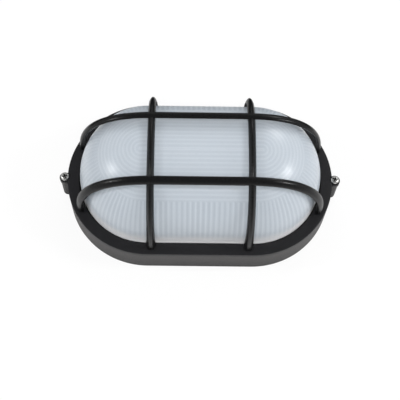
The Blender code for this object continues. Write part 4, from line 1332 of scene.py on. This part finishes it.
@dataclass
class CoverScrews:
    """The two pan head screws that hold the guard, each with a cross recess."""

    seat_z: float = 34.3 * MM
    head_radius: float = 4.1 * MM
    head_height: float = 2.8 * MM
    head_edge: float = 0.15 * MM
    crown_out: float = 0.8
    crown_up: float = 0.7
    crown_foot: float = 0.32
    crown_steps: int = 8
    shank_radius: float = 2.0 * MM
    tip: float = 1.0 * MM
    length: float = 22.0 * MM
    turn_steps: int = 56
    recess_span: float = 5.2 * MM
    recess_width: float = 1.2 * MM
    recess_depth: float = 1.6 * MM
    recess_mouth: float = 1.15
    recess_taper: float = 0.55
    # Bounds of the recess faces that get the painted shade.
    recess_shade_top: float = 0.93
    recess_shade_margin: float = 0.1 * MM

    def recess(self) -> Piece:
        """Make the tapered cross that is cut into a head.

        Returns:
            The cross, with the head's top at height 0.
        """
        half, wide = self.recess_span / 2, self.recess_width / 2
        outline = []
        for c, s in ((1, 0), (0, 1), (-1, 0), (0, -1)):
            outline += [(x * c - y * s, x * s + y * c)
                        for x, y in ((half, -wide), (half, wide), (wide, wide))]
        bm = bmesh.new()
        loops = []
        for share, z in ((self.recess_mouth, self.recess_depth), (1.0, 0.0),
                         (self.recess_taper, -self.recess_depth)):
            loops.append([bm.verts.new((x * share, y * share, z)) for x, y in outline])
        skin(bm, loops)
        bm.faces.new(loops[0])
        bm.faces.new(list(reversed(loops[-1])))
        return to_object("recess", bm)

    def darken_recess(self, screw: Piece, wardrobe: Wardrobe) -> None:
        """Paint shade on the walls and floor of the recess, with a near-black zinc.

        Args:
            screw: The finished screw, already in place.
            wardrobe: The finishes.
        """
        screw.data.materials.append(wardrobe.material(RECESS_SHADE_ZINC))
        axis = Vector((math.copysign(OVAL.ear_x, screw.data.vertices[0].co.x), 0.0))
        reach = self.recess_span / 2 + self.recess_shade_margin
        low = self.seat_z + self.head_height - self.recess_depth - self.recess_shade_margin
        high = self.seat_z + self.recess_shade_top * self.head_height
        for face in screw.data.polygons:
            if (face.center.xy - axis).length < reach and low < face.center.z < high:
                face.material_index = 1

    def turned(self, name: str) -> Piece:
        """Turn one screw and press its recess.

        Args:
            name: The piece's name.

        Returns:
            The screw, standing with its head's seat at height 0.
        """
        profile = [(0.0, self.head_height)]
        for i in range(1, self.crown_steps + 1):
            angle = math.pi / 2 * i / self.crown_steps
            rise = self.crown_foot + (1 - self.crown_foot) * math.cos(angle) ** self.crown_up
            profile.append((self.head_radius * math.sin(angle) ** self.crown_out,
                            self.head_height * rise))
        profile += [(self.head_radius, self.head_edge), (self.head_radius - self.head_edge, 0.0),
                    (self.shank_radius, 0.0), (self.shank_radius, self.tip - self.length),
                    (self.shank_radius - self.tip, -self.length), (0.0, -self.length)]
        screw = lathe(name, profile, self.turn_steps)
        recess = self.recess()
        recess.data.transform(Matrix.Translation((0, 0, self.head_height)))
        combine(screw, recess, Work.CUT)
        return screw

    def build(self, wardrobe: Wardrobe) -> None:
        """Make both screws, each left at its own turn, and dress them.

        Args:
            wardrobe: The finishes.
        """
        for name, side, turn in (("cover_screw_left", -1, 20), ("cover_screw_right", 1, 64)):
            screw = self.turned(name + "_turned")
            screw.data.transform(Matrix.Translation((side * OVAL.ear_x, 0, self.seat_z))
                                 @ Matrix.Rotation(math.radians(turn), 4, "Z"))
            wardrobe.dress(screw, ZINC)
            self.darken_recess(screw, wardrobe)
            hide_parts(name)
            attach(screw, "root")
            LOG.info("%s: %d faces", name, len(screw.data.polygons))


@dataclass
class LampAndHolder:
    """The lamp and its porcelain holder, lying along the body."""

    axis_z: float = 42.0 * MM
    lamp_tip_x: float = 95.0 * MM
    bulb_radius: float = 30.0 * MM
    bulb_turn: float = 134.0
    bulb_steps: int = 32
    lamp_length: float = 104.0 * MM
    neck_radius: float = 14.4 * MM
    neck_z: float = 38.5 * MM
    neck_steps: int = 8
    cap_radius: float = 13.1 * MM
    cap_length: float = 26.0 * MM
    thread_start: float = 0.5 * MM
    thread_pitch: float = 3.6 * MM
    thread_depth: float = 0.5 * MM
    thread_turns: int = 5
    thread_steps: int = 6
    tip_outline: tuple[Pair, ...] = ((12.6 * MM, 5.0 * MM), (4.5 * MM, 2.0 * MM),
                                     (4.5 * MM, 0.6 * MM), (3.6 * MM, 0.0), (0.0, 0.0))
    turn_steps: int = 64

    def outline(self) -> list[Pair]:
        """Draw the lamp's outline.

        Returns:
            Points of (radius, height) from the top of the bulb to the tip of the cap.
        """
        centre = self.lamp_length - self.bulb_radius
        points = [(0.0, self.lamp_length)]
        for i in range(1, self.bulb_steps + 1):
            angle = math.radians(90 - self.bulb_turn * i / self.bulb_steps)
            points.append((self.bulb_radius * math.cos(angle),
                           centre + self.bulb_radius * math.sin(angle)))
        wide, high = points[-1]
        for i in range(1, self.neck_steps + 1):
            share = i / self.neck_steps
            bend = share * share * (3 - 2 * share)
            points.append((wide + (self.neck_radius - wide) * bend,
                           high + (self.neck_z - high) * share))
        points.append((self.cap_radius, self.cap_length))
        # The thread is drawn as rings, which look the same from a step away.
        for i in range(self.thread_turns * self.thread_steps):
            height = self.cap_length - self.thread_start - i * self.thread_pitch / self.thread_steps
            groove = 0.5 - 0.5 * math.cos(2 * math.pi * i / self.thread_steps)
            points.append((self.cap_radius - self.thread_depth * groove, height))
        return points + list(self.tip_outline)

    def lamp(self, wardrobe: Wardrobe) -> None:
        """Blow the bulb with its screw cap, lay it along the body and dress it.

        Args:
            wardrobe: The finishes.
        """
        lamp = lathe("lamp_blown", self.outline(), self.turn_steps)
        lamp.data.transform(Matrix.Translation((self.lamp_tip_x, 0, self.axis_z))
                            @ Matrix.Rotation(math.radians(-90), 4, "Y"))
        wardrobe.dress(lamp, LAMP_GLASS)
        lamp.data.materials.append(wardrobe.material(NICKEL))
        for face in lamp.data.polygons:
            if face.center.x > self.lamp_tip_x - self.cap_length:
                face.material_index = 1
        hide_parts("lamp")
        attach(lamp, "root")
        LOG.info("lamp: bulb and cap, %d faces", len(lamp.data.polygons))

    def build(self, wardrobe: Wardrobe) -> None:
        """Make the lamp and dress the holder's CAD solids.

        Args:
            wardrobe: The finishes.
        """
        self.lamp(wardrobe)
        wardrobe.dress_nodes(PORCELAIN, "lampholder_body")
        wardrobe.dress_nodes(NICKEL, "lampholder_shell", "lampholder_contact")
        wardrobe.dress_nodes(ZINC, "lampholder_bracket", "bracket_screw_front",
                             "bracket_screw_back", "holder_screw_front", "holder_screw_back")


@dataclass
class Wiring:
    """Terminal block, earth point and wires, all carried over from the CAD."""

    poles: int = 3

    def build(self, wardrobe: Wardrobe) -> None:
        """Dress every small electrical solid.

        Args:
            wardrobe: The finishes.
        """
        wardrobe.dress_nodes(NYLON, "terminal_block")
        for pole in range(1, self.poles + 1):
            wardrobe.dress_nodes(BRASS, f"terminal_insert_{pole}", f"terminal_screw_{2 * pole - 1}",
                                 f"terminal_screw_{2 * pole}")
        wardrobe.dress_nodes(ZINC, "block_screw", "earth_screw", "earth_washer")
        wardrobe.dress_nodes(LIVE_SLEEVE, "wire_live")
        wardrobe.dress_nodes(NEUTRAL_SLEEVE, "wire_neutral")
        wardrobe.dress_nodes(EARTH_SLEEVE, "wire_earth")


@dataclass
class SoftBox:
    """A rectangular studio lamp that looks at the light, from angles in degrees."""

    name: str
    azimuth: float
    elevation: float
    distance: float
    size: Pair
    watts: float
    colour: str = "#FFFFFF"
    polarised: bool = False

    def build(self, target: Vector) -> None:
        """Hang the lamp in its direction from a target and turn it there.

        Args:
            target: The point that it lights.
        """
        data = bpy.data.lights.new(self.name, "AREA")
        data.shape = "RECTANGLE"
        data.size, data.size_y = self.size
        data.energy = self.watts
        data.color = linear(self.colour)[:3]
        lamp = bpy.data.objects.new(self.name, data)
        bpy.context.scene.collection.objects.link(lamp)
        turn, lift = math.radians(self.azimuth), math.radians(self.elevation)
        away = Vector((math.cos(turn) * math.cos(lift), math.sin(turn) * math.cos(lift),
                       math.sin(lift)))
        lamp.location = target + away * self.distance
        lamp.rotation_euler = (-away).to_track_quat("-Z", "Y").to_euler()
        # A crossed polariser over a lamp and the lens takes the lamp out of every reflection.
        lamp.visible_glossy = not self.polarised


@dataclass
class Studio:
    """Floor, world, soft lamps and camera."""

    floor_size: float = 6.0
    floor_steps: int = 8
    floor_drop: float = 0.5 * MM
    floor_colour: str = "#F2F2F2"
    floor_glow: float = 0.85
    floor_mirror_glow: float = 0.15
    card_colour: str = "#1A1A1A"
    card_front: float = 0.1
    card_full: float = 0.16
    surround_colour: str = "#FFFFFF"
    ceiling_colour: str = "#858585"
    surround_level: float = 0.25
    surround_mirror: float = 0.6
    surround_top: float = 14.0
    ceiling_start: float = 38.0
    camera_place: Triple = (-0.01585, -0.39666, 0.95518)
    camera_turn: Triple = (22.0737, -1.1057, 0.2943)
    lens: float = 89.948
    sensor: float = 36.0
    target: Triple = (0.0, 0.0, 0.06)
    clip_start: float = 0.01
    # Each with its azimuth, elevation, distance, size and watts.
    lamps: list[SoftBox] = field(default_factory=lambda: [
        SoftBox("left_lamp", 180, 39, 1.5, (0.26, 0.26), 5.2),
        SoftBox("right_lamp", -2, 43, 1.5, (0.26, 0.26), 6.5),
        SoftBox("back_lamp", 57, 35, 1.5, (0.26, 0.26), 2.5),
        SoftBox("left_wash", 195, 14, 1.6, (1.2, 0.4), 4.0, polarised=True),
        SoftBox("right_wash", -15, 14, 1.6, (1.2, 0.4), 6.0, polarised=True),
        SoftBox("back_wash", 90, 24, 1.6, (1.2, 0.4), 6.0, polarised=True),
        SoftBox("key_beside_lens", -92, 66, 1.5, (0.4, 0.4), 11.8, polarised=True),
    ])

    def seen_share(self, tree: Tree, camera: float, mirrored: float) -> Socket:
        """Tell how much of plain white a ray sees.

        Args:
            tree: The node tree.
            camera: The share for rays from the camera.
            mirrored: The share for reflected and transmitted rays.

        Returns:
            The share's socket, 0 for rays that only carry light.
        """
        rays = add_node(tree, "ShaderNodeLightPath")
        bent = add_node(tree, "ShaderNodeMath", {
            0: rays.outputs["Is Glossy Ray"], 1: rays.outputs["Is Transmission Ray"]},
            operation="MAXIMUM")
        weak = add_node(tree, "ShaderNodeMath", {0: bent.outputs["Value"], 1: mirrored},
                        operation="MULTIPLY")
        return add_node(tree, "ShaderNodeMath", {
            0: rays.outputs["Is Camera Ray"], 1: camera, 2: weak.outputs["Value"]},
            operation="MULTIPLY_ADD").outputs["Value"]

    def floor(self) -> None:
        """Lay a pale matt floor that mostly burns out to white, but keeps the object's shadow."""
        bm = bmesh.new()
        bmesh.ops.create_grid(bm, x_segments=self.floor_steps, y_segments=self.floor_steps,
                              size=self.floor_size / 2)
        bmesh.ops.translate(bm, vec=(0, 0, -self.floor_drop), verts=bm.verts)
        floor = to_object("floor", bm)
        material = bpy.data.materials.new("matt_white_paper")
        tree = empty_tree(material)
        paper = add_node(tree, "ShaderNodeBsdfDiffuse", {"Color": linear(self.floor_colour)})
        white = add_node(tree, "ShaderNodeEmission", {
            "Color": linear(self.surround_colour), "Strength": 1.0})
        mixed = add_node(tree, "ShaderNodeMixShader", {
            0: self.seen_share(tree, self.floor_glow, self.floor_mirror_glow),
            1: paper.outputs["BSDF"], 2: white.outputs["Emission"]})
        # A black card lies behind the light, where only reflections see it. It keeps the far
        # sides of the bars dark.
        place = add_node(tree, "ShaderNodeTexCoord").outputs["Object"]
        back = add_node(tree, "ShaderNodeSeparateXYZ", {"Vector": place}).outputs["Y"]
        behind = add_node(tree, "ShaderNodeMapRange", {
            "Value": back, "From Min": self.card_front, "From Max": self.card_full}).outputs["Result"]
        rays = add_node(tree, "ShaderNodeLightPath")
        card = add_node(tree, "ShaderNodeMath", {0: behind, 1: rays.outputs["Is Glossy Ray"]},
                        operation="MULTIPLY")
        black = add_node(tree, "ShaderNodeBsdfDiffuse", {"Color": linear(self.card_colour)})
        carded = add_node(tree, "ShaderNodeMixShader", {
            0: card.outputs["Value"], 1: mixed.outputs["Shader"], 2: black.outputs["BSDF"]})
        add_node(tree, "ShaderNodeOutputMaterial", {"Surface": carded.outputs["Shader"]})
        floor.data.materials.append(material)

    def world(self) -> None:
        """Put white walls under a dim ceiling, seen at full strength but lighting softly."""
        world = bpy.data.worlds.new("studio_surround")
        bpy.context.scene.world = world
        tree = empty_tree(world)
        direction = add_node(tree, "ShaderNodeTexCoord").outputs["Generated"]
        height = add_node(tree, "ShaderNodeSeparateXYZ", {"Vector": direction}).outputs["Z"]
        colour = add_node(tree, "ShaderNodeValToRGB", {"Fac": height}, [
            (math.sin(math.radians(self.surround_top)), self.surround_colour),
            (math.sin(math.radians(self.ceiling_start)), self.ceiling_colour)])
        lit = add_node(tree, "ShaderNodeBackground", {
            "Color": linear(self.surround_colour), "Strength": self.surround_level})
        seen = add_node(tree, "ShaderNodeBackground", {
            "Color": colour.outputs["Color"], "Strength": 1.0})
        mixed = add_node(tree, "ShaderNodeMixShader", {
            0: self.seen_share(tree, 1.0, self.surround_mirror),
            1: lit.outputs["Background"], 2: seen.outputs["Background"]})
        add_node(tree, "ShaderNodeOutputWorld", {"Surface": mixed.outputs["Shader"]})

    def camera(self) -> None:
        """Set the camera at the photograph's place and angle."""
        data = bpy.data.cameras.new("camera")
        data.lens = self.lens
        data.sensor_width = self.sensor
        data.clip_start = self.clip_start
        camera = bpy.data.objects.new("camera", data)
        bpy.context.scene.collection.objects.link(camera)
        camera.location = self.camera_place
        camera.rotation_euler = [math.radians(angle) for angle in self.camera_turn]
        bpy.context.scene.camera = camera

    def build(self) -> None:
        """Set up the whole studio."""
        self.floor()
        self.world()
        self.camera()
        for lamp in self.lamps:
            lamp.build(Vector(self.target))
        bpy.context.scene.view_settings.view_transform = "Standard"
        LOG.info("studio: floor, surround, %d soft boxes and camera", len(self.lamps))


def main() -> None:
    """Build the studio and every sub-assembly, and report each piece."""
    logging.basicConfig(level=logging.INFO, format="%(name)s: %(message)s")
    wardrobe = Wardrobe()
    Studio().build()
    CastHousing().build(wardrobe)
    GuardCage().build(wardrobe)
    RibbedGlass().build(wardrobe)
    Gaskets().build(wardrobe)
    CoverScrews().build(wardrobe)
    LampAndHolder().build(wardrobe)
    Wiring().build(wardrobe)


if __name__ == "__main__":
    main()
